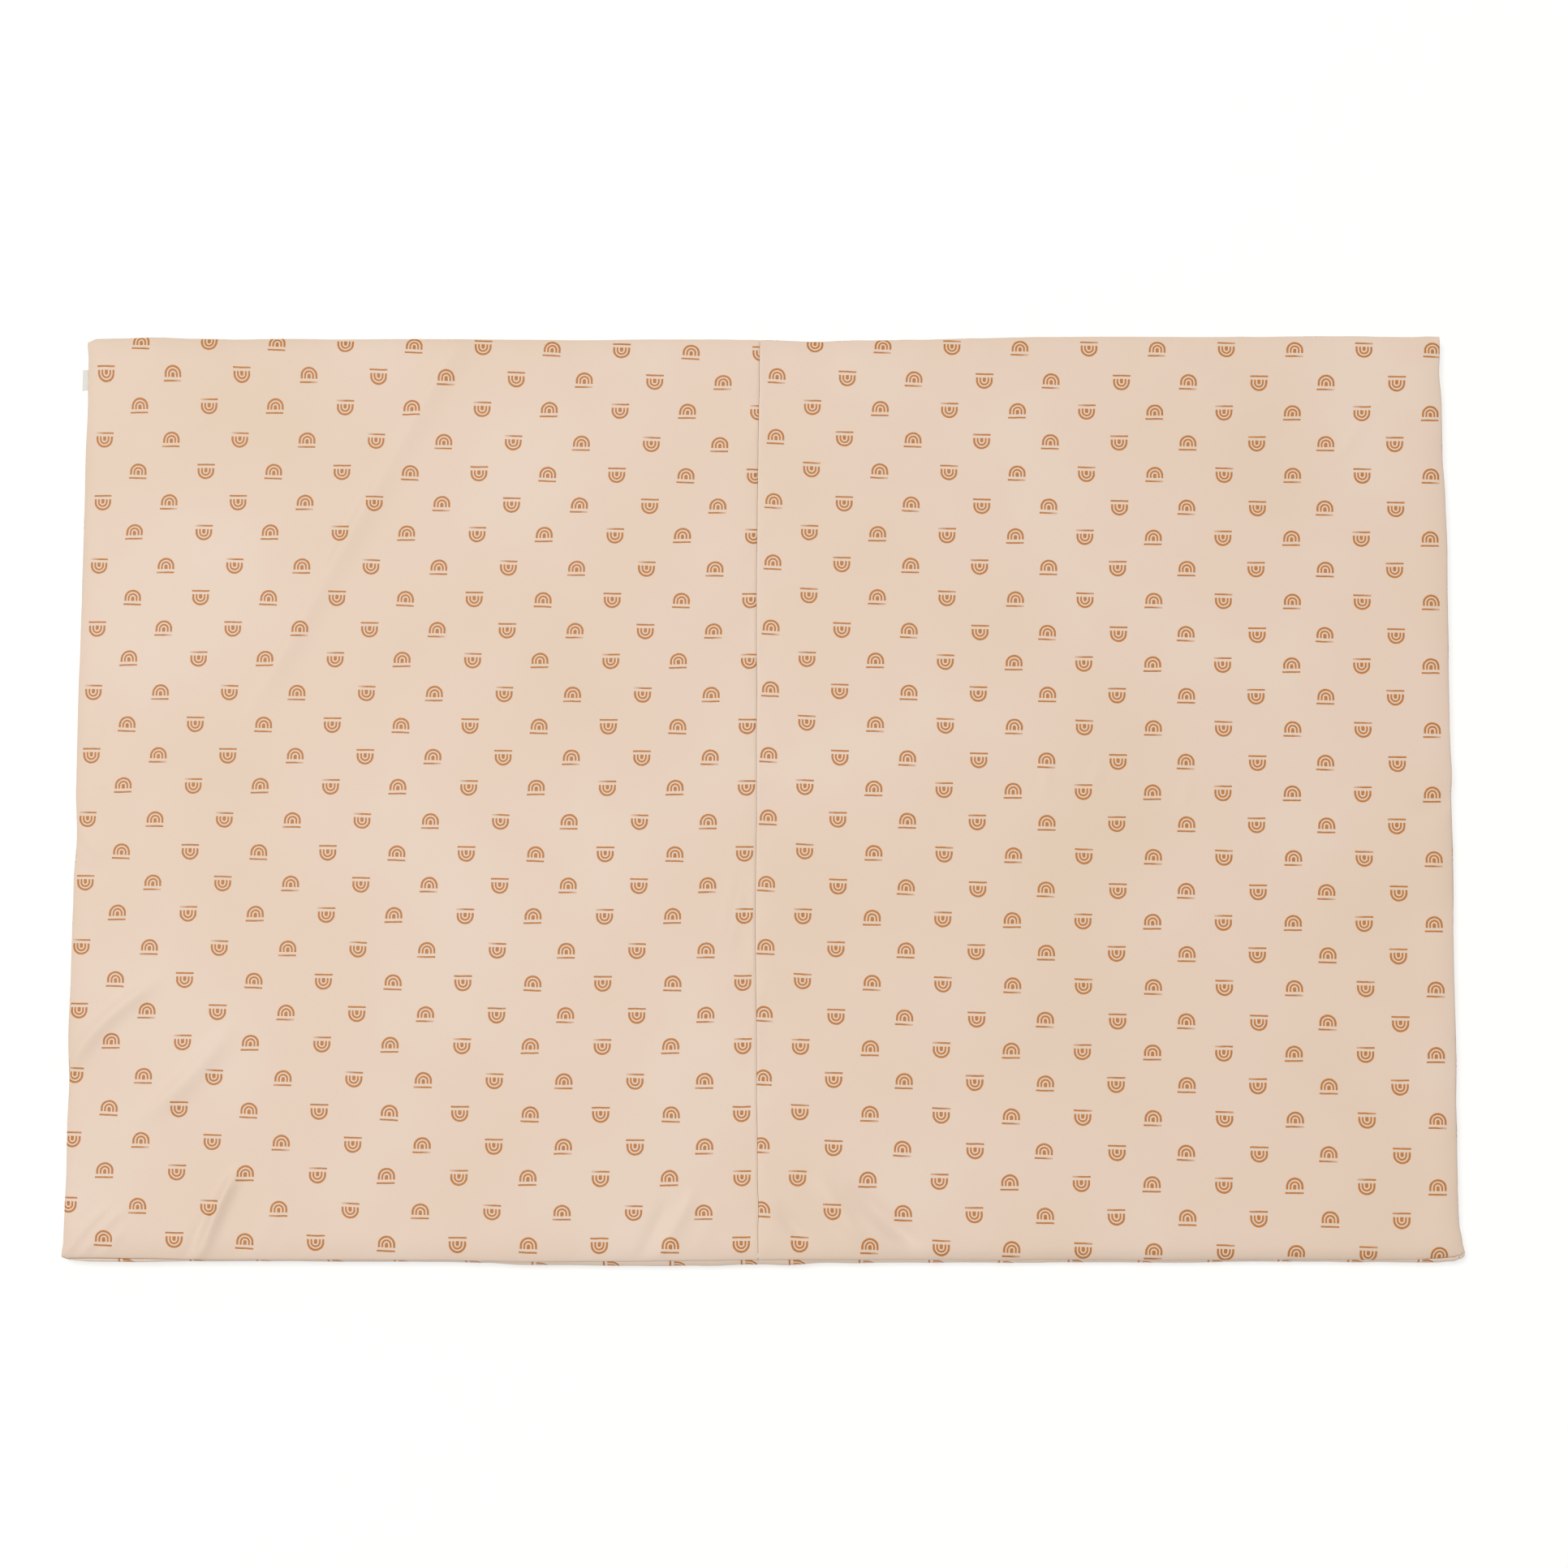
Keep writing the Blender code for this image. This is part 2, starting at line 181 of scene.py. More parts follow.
@dataclass(frozen=True)
class Repeat:
    """Lays the print's repeat on the cloth, from the places of its columns and rows.

    Args:
        origin: metres to the middle of the repeat's first place.
        column: metres from one column to the next.
        row: metres from one row to the next.
        first_column: number of the first place's column.
        pull: for X and for Y, millimetres by which the stretched cloth leaves an even repeat, as
            the factors of 1, x, y, xx, xy, yy, xxx, xxy, xyy and yyy in half metres.
        front_pull: millimetres right and up that the front seam adds at the fold line, and the same
            at the outer side.
        back_pull: the same at the back seam.
        chart: the eight motifs of the repeat, four rows of one inverted and one upright.
        half_width: metres from the middle of the mat to its outer side.
        seam_pull_from: metres from the middle to where the seam's pull begins.
        seam_pull_over: metres over which it grows to its full measure.
    """

    origin: tuple[float, float]
    column: tuple[float, float]
    row: tuple[float, float]
    first_column: int
    pull: tuple[tuple[float, ...], tuple[float, ...]]
    front_pull: tuple[float, float, float, float]
    back_pull: tuple[float, float, float, float]
    chart: tuple[PrintRow, ...]
    half_width: float = 0.745
    seam_pull_from: float = 0.42
    seam_pull_over: float = 0.065

    def lay(self, x: Values, y: Values) -> Values:
        """Column and row coordinates of points on the cloth.

        Args:
            x: metres to the right.
            y: metres away from the front.

        Returns:
            An array with one row of two numbers for each point.
        """
        across, away = x - self.origin[0], y - self.origin[1]
        far, deep = across / 0.5, away / 0.5
        terms = (1.0, far, deep, far**2, far * deep, deep**2, far**3, far**2 * deep, far * deep**2, deep**3)
        across = across - MILLIMETRE * sum(factor * term for factor, term in zip(self.pull[0], terms))
        away = away - MILLIMETRE * sum(factor * term for factor, term in zip(self.pull[1], terms))
        outer_share = np.clip(np.abs(x) / self.half_width, 0.0, 1.0)
        for facing, seam_pull in ((-1.0, self.front_pull), (1.0, self.back_pull)):
            near = MILLIMETRE * eased((facing * y - self.seam_pull_from) / self.seam_pull_over)
            right_fold, up_fold, right_outer, up_outer = seam_pull
            across = across - near * (right_fold + (right_outer - right_fold) * outer_share)
            away = away - near * (up_fold + (up_outer - up_fold) * outer_share)
        size = self.column[0] * self.row[1] - self.column[1] * self.row[0]
        column = (across * self.row[1] - away * self.row[0]) / size + self.first_column
        row = (away * self.column[0] - across * self.column[1]) / size
        return np.stack((column, row), axis=-1)


@dataclass
class Outline:
    """Points on the outline of a half or inside it, once the half is cut and filled."""

    x: Values
    y: Values
    out_x: Values
    out_y: Values
    bulge: Values
    shelf: Values
    boxed: Values

    def moved(self, outward: Values | float) -> tuple[Values, Values]:
        """The points moved outwards by a distance."""
        return self.x + self.out_x * outward, self.y + self.out_y * outward


def eased(share: Values) -> Values:
    """Shares from 0 to 1, with no corner at either end."""
    share = np.clip(share, 0.0, 1.0)
    return share * share * (3.0 - 2.0 * share)


def rolled(distance: Values, width: Values | float) -> Values:
    """How much of its full height a face has at each distance from its seam."""
    share = np.clip(distance / width, 0.0, 1.0)
    return np.sqrt(1.0 - (1.0 - share) ** 2)


def read_rows(rows: tuple[EdgeRow, ...], at: Values) -> tuple[Values, ...]:
    """The outward, lower and bulge columns of an edge table at some places, in metres, and its shelf."""
    along = np.array([row.along for row in rows])
    index = np.clip(np.searchsorted(along, at) - 1, 0, len(rows) - 2)
    share = eased((at - along[index]) / (along[index + 1] - along[index]))
    table = [(row.outward, row.lower, row.bulge, row.shelf / MILLIMETRE) for row in rows]
    columns = np.array(table).T * MILLIMETRE
    return tuple(column[index] + (column[index + 1] - column[index]) * share for column in columns)


def edge_table(*rows: tuple[float, ...]) -> tuple[EdgeRow, ...]:
    """An edge's rows, each from its numbers in the order of EdgeRow."""
    return tuple(EdgeRow(*row) for row in rows)


def uneven(at: Values, spacing: float, seed: int) -> Values:
    """Smooth uneven heights from -1 to 1 along a line.

    Args:
        at: metres along the line.
        spacing: metres from one height to the next.
        seed: seed of the heights.

    Returns:
        One height for each place.
    """
    knots = np.random.default_rng(seed).uniform(-1.0, 1.0, 512)
    place = at / spacing + 256.0
    index = np.floor(place).astype(int)
    share = eased(place - index)
    return knots[index % 512] * (1.0 - share) + knots[(index + 1) % 512] * share


def uneven_face(x: Values, y: Values, spacing: float, seed: int) -> Values:
    """Smooth uneven heights from -1 to 1 over a face, with no grain along X or Y."""
    total = np.zeros_like(x)
    for turn, angle in enumerate((0.3, 1.35, 2.4)):
        along = x * math.cos(angle) + y * math.sin(angle)
        beside = y * math.cos(angle) - x * math.sin(angle)
        bend = uneven(beside, spacing * 1.7, seed + 10 * turn + 5) * spacing * 0.6
        total += uneven(along + bend, spacing, seed + 10 * turn)
    return total / 3.0


def linear(colour: str) -> tuple[float, float, float, float]:
    """Turns an sRGB hex colour into linear RGBA."""
    parts = [int(colour[place : place + 2], 16) / 255.0 for place in (1, 3, 5)]
    light = [part / 12.92 if part <= 0.04045 else ((part + 0.055) / 1.055) ** 2.4 for part in parts]
    return (light[0], light[1], light[2], 1.0)


def add_node(
    tree: bpy.types.NodeTree,
    kind: str,
    settings: dict[str, object] | None = None,
    links: dict[str | int, object] | None = None,
) -> bpy.types.Node:
    """Adds one node, sets it up and feeds it.

    Args:
        tree: the tree that it goes into.
        kind: the node's type.
        settings: its own settings.
        links: for each input, the socket that feeds it or its value.

    Returns:
        The new node.
    """
    node = tree.nodes.new(kind)
    for name, value in (settings or {}).items():
        setattr(node, name, value)
    for name, value in (links or {}).items():
        if isinstance(value, bpy.types.NodeSocket):
            tree.links.new(value, node.inputs[name])
        else:
            node.inputs[name].default_value = value
    return node


def add_steps(tree: bpy.types.NodeTree, steps: tuple[Step, ...], known: Sockets) -> None:
    """Adds a node for each line of arithmetic, in order.

    Args:
        tree: the tree that they go into.
        steps: the lines, each a result's name, an operation, and names or numbers to put in.
        known: sockets by name, which takes in each result too.
    """
    for result, operation, *values in steps:
        links = {place: known.get(value, value) for place, value in enumerate(values)}
        settings = {"operation": operation, "label": result}
        known[result] = add_node(tree, "ShaderNodeMath", settings, links).outputs[0]


@dataclass(frozen=True)
class BlockPrint:
    """A nursery print of small arches over a bar, hand-stamped in one brown ink.

    The sizes are the stamp's own, in millimetres. Its foot line is at 0, and the arches share one
    centre above it.
    """

    ink: str = "#AC6726"
    thin_ink: str = "#C98644"
    column: float = 37.6
    row: float = 35.0
    arch_centre: float = 3.3
    outer_arch: tuple[float, float] = (8.05, 1.15)
    middle_arch: tuple[float, float] = (4.4, 1.0)
    inner_arch: tuple[float, float] = (0.0, 1.8)
    bar_half_length: float = 9.7
    bar_middle: float = -3.7
    bar_half_width: float = 0.95
    bar_left: float = 0.5
    stamp_middle: float = 3.9
    shift_range: float = 8.0
    slope_range: float = 0.2
    soft_edge: float = 0.35

    def arch(self, name: str, size: tuple[float, float]) -> tuple[Step, ...]:
        """The lines for one arch, from the radius of its stroke's middle and half its width."""
        radius, half_width = size
        return (
            (f"{name}_off", "SUBTRACT", "radius", radius),
            (f"{name}_gap", "ABSOLUTE", f"{name}_off"),
            (f"{name}_in", "SUBTRACT", half_width, f"{name}_gap"),
        )

    def find_place(self) -> tuple[Step, ...]:
        """The lines that find which motif of the repeat a point belongs to."""
        return (
            ("column", "ROUND", "u"),
            ("row", "ROUND", "v"),
            ("from_column", "SUBTRACT", "u", "column"),
            ("from_row", "SUBTRACT", "v", "row"),
            ("both", "ADD", "column", "row"),
            ("half_both", "MULTIPLY", "both", 0.5),
            ("odd", "FRACT", "half_both"),
            ("printed", "LESS_THAN", "odd", 0.25),
            ("quarter_column", "MULTIPLY", "column", 0.25),
            ("column_turn", "FRACT", "quarter_column"),
            ("upright", "GREATER_THAN", "column_turn", 0.4),
            ("quarter_row", "MULTIPLY", "row", 0.25),
            ("row_turn", "FRACT", "quarter_row"),
            ("row_on_chart", "ADD", "row_turn", 1.0 / 16.0),
            ("chart_place", "MULTIPLY_ADD", "upright", 1.0 / 8.0, "row_on_chart"),
        )

    def draw(self) -> tuple[Step, ...]:
        """The lines that draw the motif, from its place and its row of the chart."""
        half_shift = self.shift_range / 2.0
        return (
            ("right", "MULTIPLY_ADD", "chart_right", self.shift_range, -half_shift),
            ("above", "MULTIPLY_ADD", "chart_up", self.shift_range, -half_shift),
            ("fade", "MULTIPLY_ADD", "chart_fade", 2.0, -1.0),
            ("slope", "MULTIPLY_ADD", "chart_slope", self.slope_range, -self.slope_range / 2.0),
            ("x_plain", "MULTIPLY", "from_column", self.column),
            ("x_moved", "SUBTRACT", "x_plain", "right"),
            ("x", "ADD", "x_moved", "wobble_x"),
            ("y_plain", "MULTIPLY", "from_row", self.row),
            ("y_moved", "SUBTRACT", "y_plain", "above"),
            ("sloped", "MULTIPLY", "x", "slope"),
            ("y_turned", "SUBTRACT", "y_moved", "sloped"),
            ("facing", "MULTIPLY_ADD", "upright", 2.0, -1.0),
            ("y_facing", "MULTIPLY_ADD", "y_turned", "facing", self.stamp_middle),
            ("y", "ADD", "y_facing", "wobble_y"),
            ("over_centre", "SUBTRACT", "y", self.arch_centre),
            ("over", "MAXIMUM", "over_centre", 0.0),
            ("over_squared", "MULTIPLY", "over", "over"),
            ("squared", "MULTIPLY_ADD", "x", "x", "over_squared"),
            ("radius", "SQRT", "squared"),
            *self.arch("outer", self.outer_arch),
            *self.arch("middle", self.middle_arch),
            *self.arch("inner", self.inner_arch),
            ("two_in", "MAXIMUM", "outer_in", "middle_in"),
            ("arches_in", "MAXIMUM", "two_in", "inner_in"),
            ("arches_cut", "MINIMUM", "arches_in", "y"),
            ("bar_x", "MULTIPLY_ADD", "upright", self.bar_left, "x"),
            ("bar_x_size", "ABSOLUTE", "bar_x"),
            ("bar_ends", "SUBTRACT", self.bar_half_length, "bar_x_size"),
            ("bar_y", "SUBTRACT", "y", self.bar_middle),
            ("bar_y_size", "ABSOLUTE", "bar_y"),
            ("bar_sides", "SUBTRACT", self.bar_half_width, "bar_y_size"),
            ("bar_in", "MINIMUM", "bar_ends", "bar_sides"),
            ("fade_run", "MULTIPLY", "x", 1.0 / self.bar_half_length),
            ("faded", "MULTIPLY", "fade_run", "fade"),
            ("faded_part", "MAXIMUM", "faded", 0.0),
            ("bar_ink", "MULTIPLY_ADD", "faded_part", -0.9, 1.0),
            ("arches_edge", "DIVIDE", "arches_cut", self.soft_edge),
            ("arches_soft", "ADD", "arches_edge", 0.5),
            ("arches_full", "MINIMUM", "arches_soft", 1.0),
            ("arches", "MAXIMUM", "arches_full", 0.0),
            ("bar_edge", "DIVIDE", "bar_in", self.soft_edge),
            ("bar_soft", "ADD", "bar_edge", 0.5),
            ("bar_full", "MINIMUM", "bar_soft", 1.0),
            ("bar_cut", "MAXIMUM", "bar_full", 0.0),
            ("bar", "MULTIPLY", "bar_cut", "bar_ink"),
            ("stamped", "MAXIMUM", "arches", "bar"),
            ("inked", "MULTIPLY", "stamped", "printed"),
            ("covered", "MULTIPLY", "inked", "press"),
        )

    def add(self, tree: bpy.types.NodeTree, chart: tuple[PrintRow, ...]) -> Sockets:
        """Adds the print to a material.

        Args:
            tree: the material's tree.
            chart: the eight motifs of the repeat.

        Returns:
            Sockets by name, of which "covered" is how much ink lies at a point.
        """
        cloth = add_node(tree, "ShaderNodeUVMap", {"uv_map": PRINT_UV}).outputs["UV"]
        place = add_node(tree, "ShaderNodeSeparateXYZ", None, {0: cloth})
        known = {"u": place.outputs["X"], "v": place.outputs["Y"]}
        add_steps(tree, self.find_place(), known)
        ramp = add_node(tree, "ShaderNodeValToRGB", None, {0: known["chart_place"]})
        ramp.color_ramp.interpolation = "CONSTANT"
        stops = ramp.color_ramp.elements
        while len(stops) < len(chart):
            stops.new(1.0)
        for index, row in enumerate(chart):
            stops[index].position = index / len(chart)
            stops[index].color = (
                row.right / self.shift_range + 0.5,
                row.up / self.shift_range + 0.5,
                row.fade / 2.0 + 0.5,
                row.slope / self.slope_range + 0.5,
            )
        parts = add_node(tree, "ShaderNodeSeparateColor", None, {0: ramp.outputs["Color"]})
        known["chart_right"] = parts.outputs["Red"]
        known["chart_up"] = parts.outputs["Green"]
        known["chart_fade"] = parts.outputs["Blue"]
        known["chart_slope"] = ramp.outputs["Alpha"]
        # The stamp's edge wanders by about 0.2 mm every 4 mm
        edge = add_node(tree, "ShaderNodeTexNoise", None, {"Vector": cloth, "Scale": 5.0, "Detail": 1.0})
        wobble = add_node(tree, "ShaderNodeSeparateColor", None, {0: edge.outputs["Color"]})
        known["wobble_red"] = wobble.outputs["Red"]
        known["wobble_green"] = wobble.outputs["Green"]
        # Ink lies thinner in patches of 2 to 6 mm, as under a hand-pressed stamp
        patches = add_node(tree, "ShaderNodeTexNoise", None, {"Vector": cloth, "Scale": 14.0, "Detail": 3.0})
        known["patches"] = patches.outputs[0]
        add_steps(
            tree,
            (
                ("wobble_x", "MULTIPLY_ADD", "wobble_red", 0.7, -0.35),
                ("wobble_y", "MULTIPLY_ADD", "wobble_green", 0.7, -0.35),
                ("press", "MULTIPLY_ADD", "patches", 0.35, 0.84),
            ),
            known,
        )
        add_steps(tree, self.draw(), known)
        return known


@dataclass(frozen=True)
class FauxLeather:
    """Polyurethane faux leather, roller-coated and lightly embossed: smooth, satin and faintly mottled.

    The coating takes broad soft highlights on its folds, and the embossing only breaks them up.
    """

    colour: str = "#E8D4C9"
    warm_colour: str = "#DEC7AE"
    roughness: float = 0.5
    specular: float = 0.3
    grain: float = 0.0016  # metres; the real one is about 0.6 mm, drawn coarser so that it shows
    grain_depth: float = 0.00006
    mottle: float = 0.24  # metres

    def material(self, name: str, stamp: BlockPrint | None = None, chart: tuple = ()) -> Material:
        """Makes the material, printed or plain.

        Args:
            name: the material's name.
            stamp: the print on it, or None.
            chart: the eight motifs of the print's repeat.

        Returns:
            The material.
        """
        material, tree, shader = new_material(name)
        place = add_node(tree, "ShaderNodeTexCoord").outputs["Object"]
        size = {"Vector": place, "Scale": 1.0 / self.mottle, "Detail": 3.0}
        mottle = add_node(tree, "ShaderNodeTexNoise", None, size).outputs[0]
        tints = {0: mottle, 6: linear(self.colour), 7: linear(self.warm_colour)}
        cloth = add_node(tree, "ShaderNodeMix", COLOUR_MIX, tints).outputs[2]
        size = {"Vector": place, "Scale": 1.0 / self.grain, "Smoothness": 0.6}
        grain = add_node(tree, "ShaderNodeTexVoronoi", {"feature": "SMOOTH_F1"}, size).outputs["Distance"]
        relief = {"Strength": 1.0, "Distance": self.grain_depth, "Height": grain}
        bump = add_node(tree, "ShaderNodeBump", None, relief)
        shader.inputs["Roughness"].default_value = self.roughness
        shader.inputs["Specular IOR Level"].default_value = self.specular
        tree.links.new(bump.outputs[0], shader.inputs["Normal"])
        if stamp is None:
            tree.links.new(cloth, shader.inputs["Base Color"])
            return material
        known = stamp.add(tree, chart)
        inks = {0: known["patches"], 6: linear(stamp.thin_ink), 7: linear(stamp.ink)}
        ink = add_node(tree, "ShaderNodeMix", COLOUR_MIX, inks).outputs[2]
        printed = add_node(tree, "ShaderNodeMix", COLOUR_MIX, {0: known["covered"], 6: cloth, 7: ink})
        tree.links.new(printed.outputs[2], shader.inputs["Base Color"])
        return material


@dataclass(frozen=True)
class SewnEdge:
    """Raw folded edges of the cover where they are sewn together: matt, and dark brown as painted shade of
    the seam's depth.
    """

    # The dark brown is painted shade of the narrow groove between the halves, on the real folded backing.
    colour: str = "#9A6B48"
    pale_colour: str = "#AE8058"
    roughness: float = 0.85

    def material(self) -> Material:
        """Makes the material."""
        material, tree, shader = new_material("faux_leather_backing_folded")
        place = add_node(tree, "ShaderNodeTexCoord").outputs["Object"]
        fibres = add_node(tree, "ShaderNodeTexNoise", None, {"Vector": place, "Scale": 700.0, "Detail": 2.0})
        tints = {0: fibres.outputs[0], 6: linear(self.colour), 7: linear(self.pale_colour)}
        shade = add_node(tree, "ShaderNodeMix", COLOUR_MIX, tints).outputs[2]
        bump = add_node(tree, "ShaderNodeBump", None, {"Distance": 0.0001, "Height": fibres.outputs[0]})
        shader.inputs["Roughness"].default_value = self.roughness
        tree.links.new(shade, shader.inputs["Base Color"])
        tree.links.new(bump.outputs[0], shader.inputs["Normal"])
        return material


@dataclass(frozen=True)
class SewingThread:
    """Bonded polyester sewing thread: fine, slightly glossy and darker than the cover, its brown matched to
    the sewn edge's painted shade.
    """

    # Partly painted shade: as dark as the sewn edge, so that the stitches sink into the groove's shade.
    colour: str = "#966846"
    pale_colour: str = "#A67852"
    roughness: float = 0.55

    def material(self) -> Material:
        """Makes the material."""
        material, tree, shader = new_material("polyester_thread_bonded")
        place = add_node(tree, "ShaderNodeTexCoord").outputs["Object"]
        size = {"Vector": place, "Scale": 900.0}
        plies = add_node(tree, "ShaderNodeTexWave", {"bands_direction": "DIAGONAL"}, size).outputs["Fac"]
        tints = {0: plies, 6: linear(self.colour), 7: linear(self.pale_colour)}
        shade = add_node(tree, "ShaderNodeMix", COLOUR_MIX, tints).outputs[2]
        shader.inputs["Roughness"].default_value = self.roughness
        tree.links.new(shade, shader.inputs["Base Color"])
        return material


@dataclass(frozen=True)
class WovenRibbon:
    """Polyester satin ribbon, woven: white, matt, with fine ribs across it."""

    colour: str = "#F4F3EF"
    shade: str = "#D9D7D0"
    rib: float = 0.0009  # metres from rib to rib, drawn coarser than the real 0.4 mm
    roughness: float = 0.8

    def material(self) -> Material:
        """Makes the material."""
        material, tree, shader = new_material("polyester_ribbon_woven")
        place = add_node(tree, "ShaderNodeTexCoord").outputs["Object"]
        # A wave's scale counts a turn for each 20 units
        turns = 2.0 * math.pi / 20.0
        size = {"Vector": place, "Scale": turns / self.rib, "Distortion": 0.6, "Detail Scale": 3.0}
        ribs = add_node(tree, "ShaderNodeTexWave", {"bands_direction": "Y"}, size).outputs["Fac"]
        tints = {0: ribs, 6: linear(self.shade), 7: linear(self.colour)}
        weave = add_node(tree, "ShaderNodeMix", COLOUR_MIX, tints).outputs[2]
        bump = add_node(tree, "ShaderNodeBump", None, {"Distance": 0.00015, "Height": ribs})
        shader.inputs["Roughness"].default_value = self.roughness
        tree.links.new(weave, shader.inputs["Base Color"])
        tree.links.new(bump.outputs[0], shader.inputs["Normal"])
        return material


def new_material(name: str) -> tuple[Material, bpy.types.NodeTree, bpy.types.Node]:
    """Makes an empty material: the material, its tree and its shader."""
    material = bpy.data.materials.new(name)
    material.use_nodes = True
    tree = material.node_tree
    return material, tree, tree.nodes["Principled BSDF"]


def new_piece(
    name: str,
    points: Values,
    faces: list[Face],
    materials: list[Material],
    cloth: Values | None = None,
    sharp: float = 50.0,
) -> Piece:
    """Makes a piece from points and faces.

    Args:
        name: the piece's name.
        points: an array of places in metres.
        faces: for each face, the numbers of its points.
        materials: its materials, the first of which takes every face.
        cloth: the print's coordinates, one pair for each point.
        sharp: degrees past which two faces meet in a crease.

    Returns:
        The new object.
    """
    data = bpy.data.meshes.new(name)
    data.from_pydata(points.tolist(), [], faces)
    for material in materials:
        data.materials.append(material)
    if cloth is not None:
        layer = data.uv_layers.new(name=PRINT_UV)
        corners = np.empty(len(data.loops), dtype=np.int32)
        data.loops.foreach_get("vertex_index", corners)
        layer.data.foreach_set("uv", cloth[corners].astype(np.float32).ravel())
    data.shade_smooth()
    data.set_sharp_from_angle(angle=math.radians(sharp))
    data.update()
    piece = bpy.data.objects.new(name, data)
    bpy.context.scene.collection.objects.link(piece)
    return piece


FRONT_EDGE = edge_table(
    (-0.745, -1.0, 0.8, 1.2, 1.0), (-0.738, 0.4, 0.8, 2.2, 1.0), (-0.715, 0.3, 0.6, 4.2, 1.0),
    (-0.66, 0.9, 0.3, 3.9, 1.0), (-0.587, 2.3, 0.1, 1.9, 0.5), (-0.527, 2.3, 0.0, 1.7),
    (-0.449, 2.4, 0.0, 1.7), (-0.341, 2.9, 0.2, 2.5), (-0.294, 3.8, 0.4, 2.6), (-0.251, 4.7, 0.6, 4.0),
    (-0.16, 4.3, 0.8, 4.6), (-0.069, 3.5, 0.9, 5.2), (-0.005, 2.9, 0.6, 4.8), (0.025, 2.7, 0.8, 5.9),
    (0.069, 2.7, 1.4, 2.8), (0.163, 3.2, 4.2, 2.7, 0.4), (0.25, 3.7, 4.8, 2.6, 0.4),
    (0.31, 2.9, 5.2, 2.3, 0.4), (0.431, 3.8, 5.6, 2.4, 0.4), (0.526, 3.0, 5.4, 2.3, 0.4),
    (0.655, 3.3, 5.0, 2.6, 0.4), (0.69, 3.2, 3.6, 2.8, 0.3), (0.716, 1.5, 2.7, 4.2, 0.7),
    (0.733, 0.2, 1.9, 4.4, 0.8), (0.74, -1.5, 1.6, 4.8, 0.8), (0.745, -4.4, 1.4, 7.0, 0.8),
)
BACK_EDGE = edge_table(
    (-0.745, -2.6, 0.6), (-0.735, 0.8, 0.5), (-0.712, 1.3, 0.3), (-0.67, 2.0, 0.0), (-0.628, 0.5, 0.1),
    (-0.582, -0.3, 0.2), (-0.529, 0.5, 0.4), (-0.466, -0.3, 0.4), (-0.394, 0.0, 0.3), (-0.341, -0.3, 0.2),
    (-0.269, -1.0, 0.3), (-0.198, -1.7, 0.5), (-0.126, -0.9, 0.7), (-0.063, -1.0, 0.8),
    (-0.014, -1.5, 0.9), (0.004, -2.4, 1.1), (0.053, -3.8, 1.6), (0.106, -2.5, 1.4), (0.169, -2.0, 1.2),
    (0.232, -0.5, 0.9), (0.303, 0.8, 0.7), (0.375, 1.2, 0.5), (0.518, 0.4, 0.2), (0.643, 0.9, 0.2),
    (0.679, 0.4, 0.2), (0.715, 0.1, 0.6), (0.733, 0.6, 0.0), (0.745, 0.0, -1.0),
)
LEFT_EDGE = edge_table(
    (-0.5015, 1.9, 0.8), (-0.485, 0.0, 0.7), (-0.449, -0.4, 0.6), (-0.414, -1.3, 0.3),
    (-0.369, -0.9, 0.2), (-0.316, -2.2, 0.4), (-0.263, 0.1, 0.8), (-0.209, -0.5, 0.6),
    (-0.156, -0.7, 0.1), (-0.103, -1.2, 0.0), (-0.05, -3.5, 0.0), (0.004, -0.7, 0.0), (0.11, -0.4, 0.0),
    (0.163, -1.2, 0.2), (0.27, -2.0, 0.4), (0.376, -1.4, 0.0), (0.421, -2.2, 0.1), (0.483, -1.7, 0.6),
    (0.5015, -0.1, 0.6),
)
RIGHT_EDGE = edge_table(
    (-0.5015, 0.4, 1.4), (-0.49, -2.0, 1.4), (-0.47, -5.0, 1.2), (-0.445, -5.6, 1.0), (-0.416, -5.3, 0.7),
    (-0.345, -5.0, 0.4), (-0.29, -3.6, 0.1), (-0.212, -3.3, 0.0), (-0.159, -2.9, 0.2),
    (-0.106, -1.8, 0.6), (-0.053, -1.4, 0.8), (-0.008, -1.6, 0.3), (0.018, 0.3, 0.0), (0.054, -0.8, 0.0),
    (0.107, -0.6, 0.1), (0.213, 0.6, 0.2), (0.266, 1.7, 0.1), (0.32, 0.9, 0.0), (0.373, -1.0, 0.0),
    (0.426, -0.3, -0.3), (0.462, -2.1, -0.6), (0.484, -1.0, -0.8), (0.5015, -0.5, -0.8),
)
# The fold line's outward is to the right
FOLD_EDGE = edge_table(
    (-0.5015, -0.2, 0.0), (-0.47, -0.4, 0.0), (-0.45, 0.2, 0.0), (-0.41, -1.0, 0.0), (-0.37, -1.1, 0.0),
    (-0.33, -1.9, 0.0), (-0.26, -2.0, 0.0), (-0.2, -2.9, 0.0), (-0.145, -3.5, 0.0), (-0.09, -3.0, 0.0),
    (-0.03, -2.0, 0.0), (0.06, -2.2, 0.0), (0.11, -1.8, 0.0), (0.165, -2.2, 0.0), (0.235, -2.2, 0.0),
    (0.3, -1.4, 0.0), (0.38, -0.5, 0.0), (0.42, 0.2, 0.0), (0.45, 0.9, 0.0), (0.5015, 1.2, 0.0),
)

